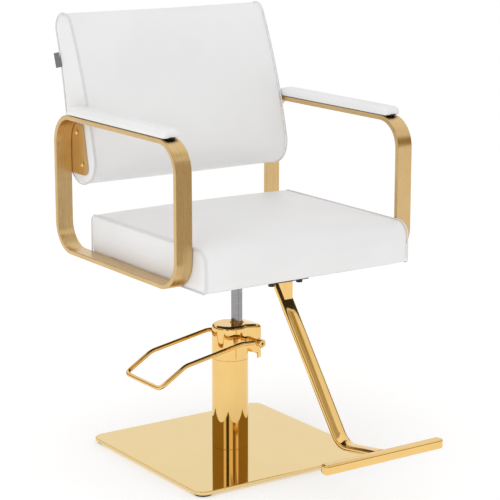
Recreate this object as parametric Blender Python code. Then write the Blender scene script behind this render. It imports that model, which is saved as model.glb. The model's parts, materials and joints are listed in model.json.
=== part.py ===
"""Hydraulic styling chair with a square base, arm loops and a T-shaped footrest.

Metres, +Z up. The origin is on the floor under the middle of the base plate.
The sitter faces -Y. The seat swivels about the piston rod, at x = ROD_X, y = 0.
"""
import bpy
import bmesh
from math import atan2, cos, pi, radians, sin
from mathutils import Matrix, Vector

# Clearance between pieces that touch, and between a bolt and its hole
GAP = 0.0003
BOLT_GAP = 0.0004
# How far a cutter reaches past the face it opens
CUT = 0.01

# Base plate, its rubber pads and the bolts that hold the pump
BASE_SIDE = 0.450
BASE_CORNER = 0.025
BASE_THICK = 0.008
BASE_EDGE = 0.0012
PAD_R = 0.019
PAD_HEIGHT = 0.005
PAD_INSET = 0.0245
PAD_EDGE = 0.001
FOOT_BOLT_RING = 0.030
FOOT_BOLT_R = 0.003
FOOT_BOLT_HEAD_R = 0.0056
FOOT_BOLT_HEAD = 0.0036
FOOT_BOLT_GRIP = 0.009
FOOT_THREAD_END = 0.003
FOOT_SPIGOT_R = 0.023
FOOT_FLANGE_THICK = 0.014

# Pump column
TUBE_R = 0.040
TUBE_WALL = 0.002
TUBE_TOP = 0.2145
CAP_TOP = 0.291
CAP_WALL = 0.004
CAP_ROOF = 0.010
CAP_EDGE = 0.008
HOOD_REACH = 0.073
HOOD_HALF = 0.033
HOOD_NOSE_R = 0.026
HOOD_DROP = 0.004
HOOD_DROOP_START = 0.034
HOOD_DROOP = 0.25
HOOD_OPENING_TOP = 0.239
HOOD_OPENING_LEAN = radians(29.5)
HOOD_OPENING_END = 0.052
HOOD_ROOF = 0.004
HOOD_ROOM_START = 0.010
HOOD_DEPTH = 0.05
OIL_SPACE = 0.0013
CYLINDER_WALL = 0.0024
CYLINDER_SPACE = 0.0018
GLAND_WALL = 0.0023
GLAND_LIP = 0.0012
GLAND_HEIGHT = 0.0022
GLAND_DEPTH = 0.009

# Piston rod, which the seat turns on
ROD_R = 0.0125
ROD_BOTTOM = 0.1290
ROD_EDGE = 0.001
PISTON_HEIGHT = 0.020
PISTON_GROOVE = 0.003

# Foot pedal, its shaft, the yoke inside the cap and the plunger it presses
PIVOT_X = 0.0330
PIVOT_Z = 0.2563
SHAFT_R = 0.005
SHAFT_SOCKET_R = 0.0026
SHAFT_SOCKET_DEPTH = 0.008
BOSS_R = 0.0092
BOSS_LENGTH = 0.016
BOSS_EDGE = 0.001
LEVER_HALF = 0.070
LEVER_R = 0.005
LEVER_CREST = (-0.014, 0.2617)
LEVER_KNEE = (-0.158, 0.2361)
LEVER_END = (-0.2230, 0.1965)
LEVER_CREST_R = 0.060
LEVER_KNEE_R = 0.045
LEVER_END_R = 0.014
LEVER_RISE = 0.002
YOKE_SPACE = 0.0013
YOKE_ARM = 0.006
YOKE_HEIGHT = 0.012
YOKE_TAIL = 0.004
YOKE_CORNER_SPACE = 0.00169
PLUNGER_X = -0.020
PLUNGER_R = 0.005
PLUNGER_LENGTH = 0.058
PLUNGER_TRAVEL = 0.030
BARREL_R = 0.009
BARREL_TOP = 0.212
SPRING_WIRE = 0.0007
SPRING_TURNS = 6
SPRING_STEPS = 10

# Seat
SEAT_HALF = 0.2567
SEAT_FRONT = -0.272
SEAT_BACK = 0.184
SEAT_BOTTOM = 0.4410
SEAT_EDGE_TOP = 0.532
SEAT_CROWN = 0.016
SEAT_FRONT_R = 0.030
SEAT_BACK_R = 0.018
SEAT_BOTTOM_R = 0.006
BOARD_THICK = 0.016
BOARD_MARGIN = 0.022
BOARD_ROOF = 0.003
RAIL_Y = 0.085
RAIL_WIDTH = 0.030
RAIL_THICK = 0.005
MOUNT_HALF_X = 0.095
MOUNT_HALF_Y = 0.110
MOUNT_THICK = 0.005
MOUNT_BOLT_X = 0.070
MOUNT_BOLT_R = 0.004
MOUNT_BOLT_HEAD_R = 0.0075
MOUNT_BOLT_HEAD = 0.005
MOUNT_BOLT_END = 0.004
MOUNT_CORNER = 0.012
HUB_WALL = 0.0095
HUB_BOTTOM = 0.385
HUB_ROOF = 0.005

# Arm loops and pads
ARM_CLEARANCE = 0.0013
ARM_WIDTH = 0.038
ARM_THICK = 0.010
ARM_FRONT = -0.229
ARM_BACK = 0.2705
ARM_DROP = 0.0005
ARM_TOP = 0.745
ARM_CORNER = 0.065
ARMPAD_FRONT = -0.187
ARMPAD_BACK = 0.212
ARMPAD_WIDTH = 0.040
ARMPAD_HEIGHT = 0.018
ARMPAD_CORNER = 0.010
ARMPAD_EDGE = 0.004
STRIP_HEIGHT = 0.0035
STRIP_INSET = 0.003
STRIP_CORNER = 0.006

# Backrest: a slab that tapers along a curved centre line from its foot to its head
BACK_CLEARANCE = 0.0007
BACK_FOOT = (0.225, 0.644)
BACK_HEAD = (0.295, 0.920)
BACK_FOOT_R = 0.056
BACK_HEAD_R = 0.034
BACK_BOW = 0.008
BACK_EDGE = 0.010
BACKBOARD_THICK = 0.015
BACKBOARD_MARGIN = 0.012
BACKBOARD_START = 0.05
BACKBOARD_END = 0.95
BRACKET_THICK = 0.003
BRACKET_TOP = 0.7195
BRACKET_BOTTOM = 0.6105
BRACKET_FRONT_TOP = 0.2110
BRACKET_FRONT_BOTTOM = 0.1895
BRACKET_BACK = 0.2685
BRACKET_TOP_R = 0.0044
BRACKET_BOTTOM_R = 0.016
BACK_BOLTS = ((0.2366, 0.7014), (0.2136, 0.6340))
BACK_BOLT_R = 0.004
BACK_BOLT_HEAD_R = 0.0062
BACK_BOLT_HEAD = 0.004
BACK_BOLT_LENGTH = 0.026
TAG_Z = 0.862
TAG_HEIGHT = 0.033
TAG_REACH = 0.015
TAG_THICK = 0.0012
TAG_GAP = 0.0010

# Footrest
POST_WIDTH = 0.031
POST_DEPTH = 0.0175
POST_CORNER = 0.008
POST_LEAN = radians(37.5)
POST_RISE = radians(8.6)
POST_BEND_R = 0.028
POST_PASS = (-0.2187, 0.3369)
POST_END_Z = 0.1325
GUSSET_FRONT = -0.1950
GUSSET_HALF = 0.0105
TBAR_HALF = 0.148
TBAR_DEPTH = 0.022
TBAR_HEIGHT = 0.020
TBAR_FRONT = -0.530
TBAR_TOP = 0.142
TBAR_ROUND = 0.009
TBAR_CORNER = 0.003
CHANNEL_HALF_X = 0.050
CHANNEL_FRONT = -0.197
CHANNEL_BACK = -0.055
CHANNEL_HEIGHT = 0.0150
CHANNEL_WALL = 0.003
FOOTREST_BOLT_X = 0.0355
FOOTREST_BOLT_Y = -0.183
FOOTREST_BOLT_R = 0.004
FOOTREST_NUT_R = 0.0070
FOOTREST_NUT_HEIGHT = 0.0075
FOOTREST_BOLT_END = 0.004

# Values that follow from the ones above
BASE_BOTTOM = PAD_HEIGHT
BASE_TOP = BASE_BOTTOM + BASE_THICK
FOOT_TOP = BASE_TOP + GAP + FOOT_FLANGE_THICK
TUBE_BORE = TUBE_R - TUBE_WALL
CAP_CEILING = CAP_TOP - CAP_ROOF
CAP_BORE = TUBE_R - CAP_WALL
CYLINDER_BORE = ROD_R + OIL_SPACE
CYLINDER_R = CYLINDER_BORE + CYLINDER_WALL
ROD_X = CAP_BORE - CYLINDER_SPACE - CYLINDER_R
GLAND_R = ROD_R + GLAND_WALL
HUB_R = ROD_R + HUB_WALL
YOKE_INNER = CYLINDER_R + YOKE_SPACE
YOKE_OUTER = YOKE_INNER + YOKE_ARM
YOKE_NOSE = -((CAP_BORE - YOKE_CORNER_SPACE) ** 2 - YOKE_OUTER ** 2) ** 0.5
RAIL_BOTTOM = SEAT_BOTTOM + GAP
BOARD_BOTTOM = RAIL_BOTTOM + RAIL_THICK + GAP
BOARD_TOP = BOARD_BOTTOM + BOARD_THICK
MOUNT_TOP = RAIL_BOTTOM - GAP
MOUNT_BOTTOM = MOUNT_TOP - MOUNT_THICK
CHANNEL_TOP = MOUNT_BOTTOM - GAP
CHANNEL_BOTTOM = CHANNEL_TOP - CHANNEL_HEIGHT
ROD_TOP = MOUNT_BOTTOM - GAP - HUB_ROOF - GAP
ARM_INNER = SEAT_HALF + ARM_CLEARANCE
ARM_HALF = ARM_INNER + ARM_WIDTH
ARM_BOTTOM = SEAT_BOTTOM - ARM_DROP
BACK_HALF = ARM_INNER - GAP - BRACKET_THICK - BACK_CLEARANCE
STRIP_BOTTOM = ARM_TOP + GAP
ARMPAD_BOTTOM = STRIP_BOTTOM + STRIP_HEIGHT + GAP
POST_TOP = CHANNEL_BOTTOM - GAP
TBAR_BACK = TBAR_FRONT + TBAR_DEPTH


# ---------------------------------------------------------------- materials

def material(name, colour, roughness, metallic=0.0):
    found = bpy.data.materials.get(name)
    if found:
        return found
    made = bpy.data.materials.new(name)
    made.use_nodes = True
    shader = made.node_tree.nodes["Principled BSDF"]
    shader.inputs["Base Color"].default_value = (*colour, 1.0)
    shader.inputs["Roughness"].default_value = roughness
    shader.inputs["Metallic"].default_value = metallic
    made.diffuse_color = (*colour, 1.0)
    return made


def polished_gold():
    return material("polished_gold", (0.86, 0.63, 0.29), 0.08, 1.0)


def brushed_gold():
    return material("brushed_gold", (0.66, 0.47, 0.22), 0.32, 1.0)


def chrome():
    return material("chrome", (0.75, 0.75, 0.77), 0.12, 1.0)


def dark_steel():
    return material("dark_steel", (0.03, 0.03, 0.03), 0.45, 0.6)


def bright_steel():
    return material("bright_steel", (0.55, 0.55, 0.56), 0.30, 1.0)


def rubber():
    return material("rubber", (0.02, 0.02, 0.02), 0.75)


def black_plastic():
    return material("black_plastic", (0.015, 0.015, 0.015), 0.45)


def white_vinyl():
    return material("white_vinyl", (0.83, 0.83, 0.84), 0.45)


def grey_fabric():
    return material("grey_fabric", (0.42, 0.42, 0.43), 0.80)


def plywood():
    return material("plywood", (0.55, 0.40, 0.24), 0.60)


# ---------------------------------------------------------------- outlines

def arc(centre, radius, start, end, steps):
    """Points on an arc in the plane, from one angle to another."""
    cx, cy = centre
    angles = [start + (end - start) * i / steps for i in range(steps + 1)]
    return [(cx + radius * cos(a), cy + radius * sin(a)) for a in angles]


def rounded_box(low, high, radius, steps=6):
    """Outline of a rectangle with rounded corners, counter-clockwise."""
    (x0, y0), (x1, y1) = low, high
    points = arc((x1 - radius, y1 - radius), radius, 0, pi / 2, steps)
    points += arc((x0 + radius, y1 - radius), radius, pi / 2, pi, steps)
    points += arc((x0 + radius, y0 + radius), radius, pi, 1.5 * pi, steps)
    points += arc((x1 - radius, y0 + radius), radius, 1.5 * pi, 2 * pi, steps)
    return points


def fillet_path(points, radii, steps=6):
    """A path of straight runs whose inner corners are arcs of the given radii."""
    path = [Vector(points[0])]
    for before, corner, after, radius in zip(points, points[1:], points[2:], radii):
        corner = Vector(corner)
        into = (corner - Vector(before)).normalized()
        out = (Vector(after) - corner).normalized()
        half = into.angle(out) / 2
        reach = radius * sin(half) / cos(half)
        middle = corner + (out - into).normalized() * (radius / cos(half))
        first = corner - into * reach - middle
        axis = into.cross(out).normalized()
        for i in range(steps + 1):
            path.append(middle + Matrix.Rotation(2 * half * i / steps, 3, axis) @ first)
    path.append(Vector(points[-1]))
    return path


# ---------------------------------------------------------------- solids

def finish(name, mesh_data, surface, origin=(0, 0, 0), smooth=30):
    """Make an object from a bmesh held in world coordinates, with its own origin."""
    bmesh.ops.remove_doubles(mesh_data, verts=mesh_data.verts, dist=0.00001)
    bmesh.ops.recalc_face_normals(mesh_data, faces=mesh_data.faces)
    bmesh.ops.translate(mesh_data, verts=mesh_data.verts, vec=-Vector(origin))
    mesh = bpy.data.meshes.new(name)
    mesh_data.to_mesh(mesh)
    mesh_data.free()
    mesh.materials.append(surface)
    mesh.shade_smooth()
    mesh.set_sharp_from_angle(angle=radians(smooth))
    made = bpy.data.objects.new(name, mesh)
    made.location = origin
    bpy.context.scene.collection.objects.link(made)
    return made


def loft(rings, closed=False):
    """Skin a row of equal outlines; open rows get a face at each end."""
    made = bmesh.new()
    rows = [[made.verts.new(p) for p in ring] for ring in rings]
    pairs = list(zip(rows, rows[1:]))
    if closed:
        pairs.append((rows[-1], rows[0]))
    for a, b in pairs:
        count = len(a)
        for i in range(count):
            j = (i + 1) % count
            made.faces.new((a[i], a[j], b[j], b[i]))
    if not closed:
        made.faces.new(rows[0])
        made.faces.new(rows[-1])
    return made


def prism(outline, low, high, axis="z"):
    """Extrude an outline along an axis: (x, y) along z, (y, z) along x, (x, z) along y."""
    place = {
        "z": lambda p, at: (p[0], p[1], at),
        "x": lambda p, at: (at, p[0], p[1]),
        "y": lambda p, at: (p[0], at, p[1]),
    }[axis]
    return loft([[place(p, at) for p in outline] for at in (low, high)])


def box(low, high):
    (x0, y0, z0), (x1, y1, z1) = low, high
    return prism([(x0, y0), (x1, y0), (x1, y1), (x0, y1)], z0, z1)


def turned(profile, centre, axis="z", sides=32):
    """Turn a closed (radius, height) profile; a radius of 0 lies on the axis."""
    made = bmesh.new()
    verts = [made.verts.new((max(r, 0.0), 0, h)) for r, h in profile]
    edges = [made.edges.new(pair) for pair in zip(verts, verts[1:] + verts[:1])]
    bmesh.ops.spin(made, geom=verts + edges, cent=(0, 0, 0), axis=(0, 0, 1),
                   angle=2 * pi, steps=sides, use_merge=True)
    bmesh.ops.remove_doubles(made, verts=made.verts, dist=0.000001)
    bmesh.ops.dissolve_degenerate(made, edges=made.edges, dist=0.000001)
    if axis == "y":
        made.transform(Matrix.Rotation(-pi / 2, 4, "X"))
    if axis == "x":
        made.transform(Matrix.Rotation(pi / 2, 4, "Y"))
    made.transform(Matrix.Translation(centre))
    return made


def rod(radius, low, high, centre=(0, 0), axis="z", sides=24):
    """A round bar along z at (x, y), along y at (x, z) or along x at (y, z)."""
    u, v = centre
    start = {"z": (u, v, 0), "y": (u, 0, v), "x": (0, u, v)}[axis]
    return turned([(0, low), (radius, low), (radius, high), (0, high)], start, axis, sides)


def pipe(outer, inner, low, high, centre=(0, 0), sides=32):
    x, y = centre
    return turned([(inner, low), (outer, low), (outer, high), (inner, high)], (x, y, 0), "z", sides)


def cut(body, name, mesh_data, operation="DIFFERENCE"):
    """Take a helper solid away from a body, or keep it as part of the body."""
    helper = finish(name, mesh_data, body.data.materials[0])
    helper.hide_render = True
    helper.display_type = "WIRE"
    step = body.modifiers.new(name, "BOOLEAN")
    step.operation = operation
    step.solver = "EXACT"
    step.object = helper


def bevel(body, width, segments=2, limit=40):
    step = body.modifiers.new("edges", "BEVEL")
    step.width = width
    step.segments = segments
    step.limit_method = "ANGLE"
    step.angle_limit = radians(limit)


def bolt(name, head_r, head, shank_r, length, place, direction, surface, sides=16):
    """A bolt whose head rests on the face at place and whose shank goes along direction."""
    dome = [(head_r * cos(a), -head * sin(a)) for a in (0, pi / 6, pi / 3)]
    profile = [(0, length), (0, -head)] + dome[::-1] + [(shank_r, 0), (shank_r, length)]
    made = turned(profile, (0, 0, 0), "z", sides)
    turn = Vector((0, 0, 1)).rotation_difference(Vector(direction)).to_matrix().to_4x4()
    made.transform(Matrix.Translation(place) @ turn)
    return finish(name, made, surface, place)


# ---------------------------------------------------------------- base and pump

def corner_signs():
    return [(-1, -1), (1, -1), (1, 1), (-1, 1)]


def foot_bolt_places():
    return [(sx * FOOT_BOLT_RING * sin(pi / 4), sy * FOOT_BOLT_RING * sin(pi / 4))
            for sx, sy in corner_signs()]


def base_plate():
    half = BASE_SIDE / 2
    outline = rounded_box((-half, -half), (half, half), BASE_CORNER)
    plate = finish("base_plate", prism(outline, BASE_BOTTOM, BASE_TOP), polished_gold())
    bevel(plate, BASE_EDGE, 1, 60)
    low, high = BASE_BOTTOM - CUT, BASE_TOP + CUT
    cut(plate, "cut_spigot", rod(FOOT_SPIGOT_R + GAP, low, high, sides=32))
    for i, place in enumerate(foot_bolt_places(), 1):
        cut(plate, f"cut_foot_bolt_{i}", rod(FOOT_BOLT_R + BOLT_GAP, low, high, place, sides=12))


def foot_pads():
    reach = BASE_SIDE / 2 - PAD_INSET
    top = BASE_BOTTOM - GAP
    for i, (sx, sy) in enumerate(corner_signs(), 1):
        profile = [(0, 0), (PAD_R - PAD_EDGE, 0), (PAD_R, PAD_EDGE), (PAD_R, top), (0, top)]
        place = (sx * reach, sy * reach, 0)
        finish(f"foot_pad_{i}", turned(profile, place, sides=28), rubber(), place)


def pump_foot():
    """Steel foot inside the tube, with a spigot that fills the hole of the base plate."""
    step = BASE_TOP + GAP
    flange = TUBE_BORE - GAP
    profile = [(0, BASE_BOTTOM), (FOOT_SPIGOT_R, BASE_BOTTOM), (FOOT_SPIGOT_R, step),
               (flange, step), (flange, FOOT_TOP), (0, FOOT_TOP)]
    foot = finish("pump_foot", turned(profile, (0, 0, 0)), bright_steel())
    for i, place in enumerate(foot_bolt_places(), 1):
        hole = rod(FOOT_BOLT_R + BOLT_GAP, step - CUT, FOOT_TOP - FOOT_THREAD_END, place, sides=12)
        cut(foot, f"cut_foot_thread_{i}", hole)
        start = (*place, BASE_BOTTOM - GAP)
        bolt(f"pump_bolt_{i}", FOOT_BOLT_HEAD_R, FOOT_BOLT_HEAD, FOOT_BOLT_R,
             BASE_THICK + FOOT_BOLT_GRIP, start, (0, 0, 1), dark_steel(), 12)


def pump_tube():
    low, high = BASE_TOP + GAP, TUBE_TOP
    profile = [(TUBE_BORE, low), (TUBE_R, low), (TUBE_R, high), (TUBE_BORE, high)]
    finish("pump_tube", turned(profile, (0, 0, 0), sides=48), polished_gold())


def hood_join(radius, half):
    """Angle at which the hood's straight side leaves the column's circle."""
    return atan2(half, (radius ** 2 - half ** 2) ** 0.5)


def cap_outline(shrink=0.0):
    """The column's circle, drawn out towards +X into the hood over the pedal shaft."""
    radius, half = TUBE_R - shrink, HOOD_HALF - shrink
    nose, tip = HOOD_NOSE_R - shrink, HOOD_REACH - shrink
    meet = hood_join(radius, half)
    points = arc((0, 0), radius, meet, 2 * pi - meet, 36)
    points += arc((tip - nose, nose - half), nose, -pi / 2, 0, 7)
    points += arc((tip - nose, half - nose), nose, 0, pi / 2, 7)
    return points


def cap_roof(x):
    return CAP_TOP - HOOD_DROOP * max(0.0, x - HOOD_DROOP_START)


def cap_solid(bottom):
    """Straight wall, rounded shoulder and a roof that falls away over the hood."""
    rings = [[(x, y, bottom) for x, y in cap_outline()]]
    for i in range(6):
        turn = pi / 2 * i / 5
        outline = cap_outline(CAP_EDGE * (1 - cos(turn)))
        rings.append([(x, y, cap_roof(x) - CAP_EDGE * (1 - sin(turn))) for x, y in outline])
    roof = cap_outline(CAP_EDGE)
    for share in (0.7, 0.4, 0.1):
        inner = [(ROD_X + (x - ROD_X) * share, y * share) for x, y in roof]
        rings.append([(x, y, cap_roof(x)) for x, y in inner])
    return loft(rings)


def hood_opening():
    """Room under the hood's side walls: outside the column, rising towards it."""
    radius = TUBE_R + GAP
    meet = hood_join(radius, HOOD_HALF)
    reach = HOOD_HALF + CUT
    plan = arc((0, 0), radius, meet, -meet, 10)
    plan += [(plan[-1][0], -reach), (HOOD_OPENING_END, -reach), (HOOD_OPENING_END, reach),
             (plan[0][0], reach)]
    slope = sin(HOOD_OPENING_LEAN) / cos(HOOD_OPENING_LEAN)
    start = plan[0][0]
    floor = [(x, y, TUBE_TOP - HOOD_DEPTH) for x, y in plan]
    return loft([floor, [(x, y, HOOD_OPENING_TOP - slope * (x - start)) for x, y in plan]])


def pump_cap():
    low = TUBE_TOP + GAP
    cap = finish("pump_cap", cap_solid(low - HOOD_DROP), polished_gold())
    below = low - HOOD_DEPTH
    cut(cap, "cut_tube_room", rod(TUBE_R + GAP, below, low, sides=48))
    cut(cap, "cut_cap_bore", rod(CAP_BORE, below, CAP_CEILING, sides=32))
    side = HOOD_HALF - CAP_WALL
    hood = rounded_box((HOOD_ROOM_START, -side), (HOOD_REACH - CAP_WALL, side),
                       HOOD_NOSE_R - CAP_WALL)
    cut(cap, "cut_hood_room", prism(hood, below, CAP_TOP - CAP_EDGE - CAP_WALL - HOOD_ROOF))
    cut(cap, "cut_hood_opening", hood_opening())
    neck = GLAND_R - GLAND_LIP + GAP
    cut(cap, "cut_gland_seat", rod(neck, CAP_CEILING - CUT, CAP_TOP + CUT, (ROD_X, 0)))
    reach = HOOD_HALF + CUT
    cut(cap, "cut_shaft_way", rod(SHAFT_R + GAP, -reach, reach, (PIVOT_X, PIVOT_Z), "y"))


def inner_cylinder():
    low, high = FOOT_TOP + GAP, CAP_CEILING - GAP
    finish("inner_cylinder", pipe(CYLINDER_R, CYLINDER_BORE, low, high, (ROD_X, 0), 24),
           bright_steel())


def rod_gland():
    """Flanged ring that guides the rod where it leaves the cap."""
    inner = ROD_R + GAP
    neck = GLAND_R - GLAND_LIP
    shoulder, top = CAP_TOP + GAP, CAP_TOP + GAP + GLAND_HEIGHT
    low = shoulder - GLAND_DEPTH
    round_off = GLAND_HEIGHT / 3
    profile = [(inner, low), (neck, low), (neck, shoulder), (GLAND_R, shoulder),
               (GLAND_R, top - round_off), (GLAND_R - round_off, top), (inner, top)]
    finish("rod_gland", turned(profile, (ROD_X, 0, 0)), polished_gold())


def piston_rod():
    profile = [(0, ROD_BOTTOM), (ROD_R, ROD_BOTTOM), (ROD_R, ROD_TOP - ROD_EDGE),
               (ROD_R - ROD_EDGE, ROD_TOP), (0, ROD_TOP)]
    finish("piston_rod", turned(profile, (ROD_X, 0, 0)), chrome(), (ROD_X, 0, 0))


def piston():
    """Head under the rod, with a groove that holds its seal."""
    radius = CYLINDER_BORE - GAP
    top = ROD_BOTTOM - GAP
    low = top - PISTON_HEIGHT
    groove_low, groove_high = low + PISTON_HEIGHT * 0.3, top - PISTON_HEIGHT * 0.3
    groove = radius - PISTON_GROOVE
    profile = [(0, low), (radius, low), (radius, groove_low), (groove, groove_low),
               (groove, groove_high), (radius, groove_high), (radius, top), (0, top)]
    finish("piston_head", turned(profile, (ROD_X, 0, 0), sides=24), bright_steel(), (ROD_X, 0, 0))
    seal = pipe(radius, groove + GAP, groove_low + GAP, groove_high - GAP, (ROD_X, 0), 24)
    finish("piston_seal", seal, rubber(), (ROD_X, 0, 0))


# ---------------------------------------------------------------- foot pedal

def pedal_origin():
    return (PIVOT_X, 0, PIVOT_Z)


def pedal_shafts():
    """One stub on each side: through the boss, the hood's wall and the yoke's arm."""
    inner = YOKE_INNER
    outer = LEVER_HALF + BOSS_LENGTH / 2
    floor = outer - SHAFT_SOCKET_DEPTH
    for name, side in (("front", -1), ("rear", 1)):
        profile = [(0, inner), (SHAFT_R, inner), (SHAFT_R, outer), (SHAFT_SOCKET_R, outer),
                   (SHAFT_SOCKET_R, floor), (0, floor)]
        profile = [(radius, side * height) for radius, height in profile]
        made = turned(profile, (PIVOT_X, 0, PIVOT_Z), "y", 20)
        finish(f"pedal_shaft_{name}", made, polished_gold(), pedal_origin())


def pedal_bosses():
    for name, side in (("front", -1), ("rear", 1)):
        middle = side * LEVER_HALF
        low, high = middle - BOSS_LENGTH / 2, middle + BOSS_LENGTH / 2
        inner, outer = SHAFT_R + GAP, BOSS_R
        profile = [(inner, low), (outer - BOSS_EDGE, low), (outer, low + BOSS_EDGE),
                   (outer, high - BOSS_EDGE), (outer - BOSS_EDGE, high), (inner, high)]
        made = turned(profile, (PIVOT_X, 0, PIVOT_Z), "y", 24)
        finish(f"pedal_boss_{name}", made, polished_gold(), pedal_origin())


def pedal_path():
    """Centre line of the bent bar: one arm, the tread and the other arm."""
    start = (PIVOT_X - BOSS_R - GAP, PIVOT_Z + LEVER_RISE)
    arm = [start, LEVER_CREST, LEVER_KNEE, LEVER_END]
    front = [(x, -LEVER_HALF, z) for x, z in arm]
    rear = [(x, LEVER_HALF, z) for x, z in reversed(arm)]
    radii = [LEVER_CREST_R, LEVER_KNEE_R, LEVER_END_R]
    return fillet_path(front + rear, radii + radii[::-1])


def pedal_lever():
    curve = bpy.data.curves.new("pedal_lever", "CURVE")
    curve.dimensions = "3D"
    curve.bevel_depth = LEVER_R
    curve.bevel_resolution = 3
    curve.use_fill_caps = True
    points = pedal_path()
    spline = curve.splines.new("POLY")
    spline.points.add(len(points) - 1)
    origin = Vector(pedal_origin())
    for target, point in zip(spline.points, points):
        target.co = (*(point - origin), 1)
    spline.use_smooth = True
    curve.materials.append(polished_gold())
    made = bpy.data.objects.new("pedal_lever", curve)
    made.location = origin
    bpy.context.scene.collection.objects.link(made)


def pump_yoke():
    """Fork on the shaft that reaches round the cylinder and bears on the plunger."""
    low, high = PIVOT_Z - YOKE_HEIGHT / 2, PIVOT_Z + YOKE_HEIGHT / 2
    tail = PIVOT_X + SHAFT_R + YOKE_TAIL
    nose = YOKE_NOSE
    outer, inner = YOKE_OUTER, YOKE_INNER
    neck = PLUNGER_X + PLUNGER_R
    outline = [(nose, -outer), (tail, -outer), (tail, -inner), (neck, -inner),
               (neck, inner), (tail, inner), (tail, outer), (nose, outer)]
    yoke = finish("pump_yoke", prism(outline, low, high), bright_steel(), pedal_origin())
    cut(yoke, "cut_yoke_eyes", rod(SHAFT_R + GAP, -outer - CUT, outer + CUT,
                                   (PIVOT_X, PIVOT_Z), "y"))


def plunger_top():
    return PIVOT_Z - YOKE_HEIGHT / 2 - GAP


def pump_plunger():
    top = plunger_top()
    place = (PLUNGER_X, 0, top)
    made = rod(PLUNGER_R, top - PLUNGER_LENGTH, top, (PLUNGER_X, 0), sides=16)
    finish("pump_plunger", made, bright_steel(), place)


def spring_bottom():
    return plunger_top() - PLUNGER_LENGTH - PLUNGER_TRAVEL - SPRING_WIRE * 2 * (SPRING_TURNS + 2)


def plunger_barrel():
    low = FOOT_TOP + GAP
    bore = PLUNGER_R + GAP
    floor = spring_bottom() - GAP
    profile = [(0, low), (BARREL_R, low), (BARREL_R, BARREL_TOP), (bore, BARREL_TOP),
               (bore, floor), (0, floor)]
    finish("plunger_barrel", turned(profile, (PLUNGER_X, 0, 0), sides=20), bright_steel())


def plunger_spring():
    """Coil that lifts the plunger and the pedal again."""
    low = spring_bottom() + SPRING_WIRE
    high = plunger_top() - PLUNGER_LENGTH - GAP - SPRING_WIRE
    radius = PLUNGER_R - SPRING_WIRE - GAP
    steps = SPRING_TURNS * SPRING_STEPS
    curve = bpy.data.curves.new("plunger_spring", "CURVE")
    curve.dimensions = "3D"
    curve.bevel_depth = SPRING_WIRE
    curve.bevel_resolution = 1
    curve.use_fill_caps = True
    spline = curve.splines.new("POLY")
    spline.points.add(steps)
    for i, target in enumerate(spline.points):
        turn = 2 * pi * i / SPRING_STEPS
        height = low + (high - low) * i / steps
        target.co = (radius * cos(turn), radius * sin(turn), height, 1)
    curve.materials.append(bright_steel())
    made = bpy.data.objects.new("plunger_spring", curve)
    made.location = (PLUNGER_X, 0, 0)
    bpy.context.scene.collection.objects.link(made)


# ---------------------------------------------------------------- seat

def upper_origin():
    return (ROD_X, 0, 0)


def seat_profile(crown):
    """Side outline (y, z) of the seat cushion for a given rise of its top."""
    top = SEAT_EDGE_TOP
    points = arc((SEAT_FRONT + SEAT_BOTTOM_R, SEAT_BOTTOM + SEAT_BOTTOM_R), SEAT_BOTTOM_R,
                 1.5 * pi, pi, 2)
    points += arc((SEAT_FRONT + SEAT_FRONT_R, top - SEAT_FRONT_R), SEAT_FRONT_R, pi, pi / 2, 5)
    start, end = SEAT_FRONT + SEAT_FRONT_R, SEAT_BACK - SEAT_BACK_R
    for i in range(1, 8):
        share = i / 8
        points.append((start + (end - start) * share, top + crown * sin(pi * share) ** 0.7))
    points += arc((SEAT_BACK - SEAT_BACK_R, top - SEAT_BACK_R), SEAT_BACK_R, pi / 2, 0, 3)
    points += arc((SEAT_BACK - SEAT_BOTTOM_R, SEAT_BOTTOM + SEAT_BOTTOM_R), SEAT_BOTTOM_R,
                  0, -pi / 2, 2)
    return points


def crowned_rings(profile, half, stations):
    """Rings of a cushion along X, flat at its sides and fullest in the middle."""
    rings = []
    for share in stations:
        fullness = max(0.0, 1 - share ** 4)
        rings.append([(ROD_X + half * share, y, z) for y, z in profile(fullness)])
    return rings


def stations(count):
    return [-1 + 2 * i / count for i in range(count + 1)]


def rail_bolt_places():
    return [(ROD_X + sx * MOUNT_BOLT_X, sy * RAIL_Y) for sx, sy in corner_signs()]


def seat_cushion():
    rings = crowned_rings(lambda full: seat_profile(SEAT_CROWN * full), SEAT_HALF, stations(10))
    cushion = finish("seat_cushion", loft(rings), white_vinyl(), upper_origin())
    half = SEAT_HALF - BOARD_MARGIN + GAP
    front, back = SEAT_FRONT + BOARD_MARGIN - GAP, SEAT_BACK - BOARD_MARGIN + GAP
    below = SEAT_BOTTOM - CUT
    cut(cushion, "cut_board_room",
        box((ROD_X - half, front, below), (ROD_X + half, back, BOARD_TOP + GAP)))
    for name, y in (("front", -RAIL_Y), ("back", RAIL_Y)):
        reach = RAIL_WIDTH / 2 + GAP
        room = box((ROD_X - SEAT_HALF - CUT, y - reach, below),
                   (ROD_X + SEAT_HALF + CUT, y + reach, RAIL_BOTTOM + RAIL_THICK + GAP))
        cut(cushion, f"cut_rail_{name}", room)


def seat_board():
    half = SEAT_HALF - BOARD_MARGIN
    low, high = (ROD_X - half, SEAT_FRONT + BOARD_MARGIN), (ROD_X + half, SEAT_BACK - BOARD_MARGIN)
    board = finish("seat_board", box((*low, BOARD_BOTTOM), (*high, BOARD_TOP)), plywood(),
                   upper_origin())
    for i, place in enumerate(rail_bolt_places(), 1):
        hole = rod(MOUNT_BOLT_R + BOLT_GAP, BOARD_BOTTOM - CUT, BOARD_TOP - BOARD_ROOF, place,
                   sides=12)
        cut(board, f"cut_board_{i}", hole)


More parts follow.
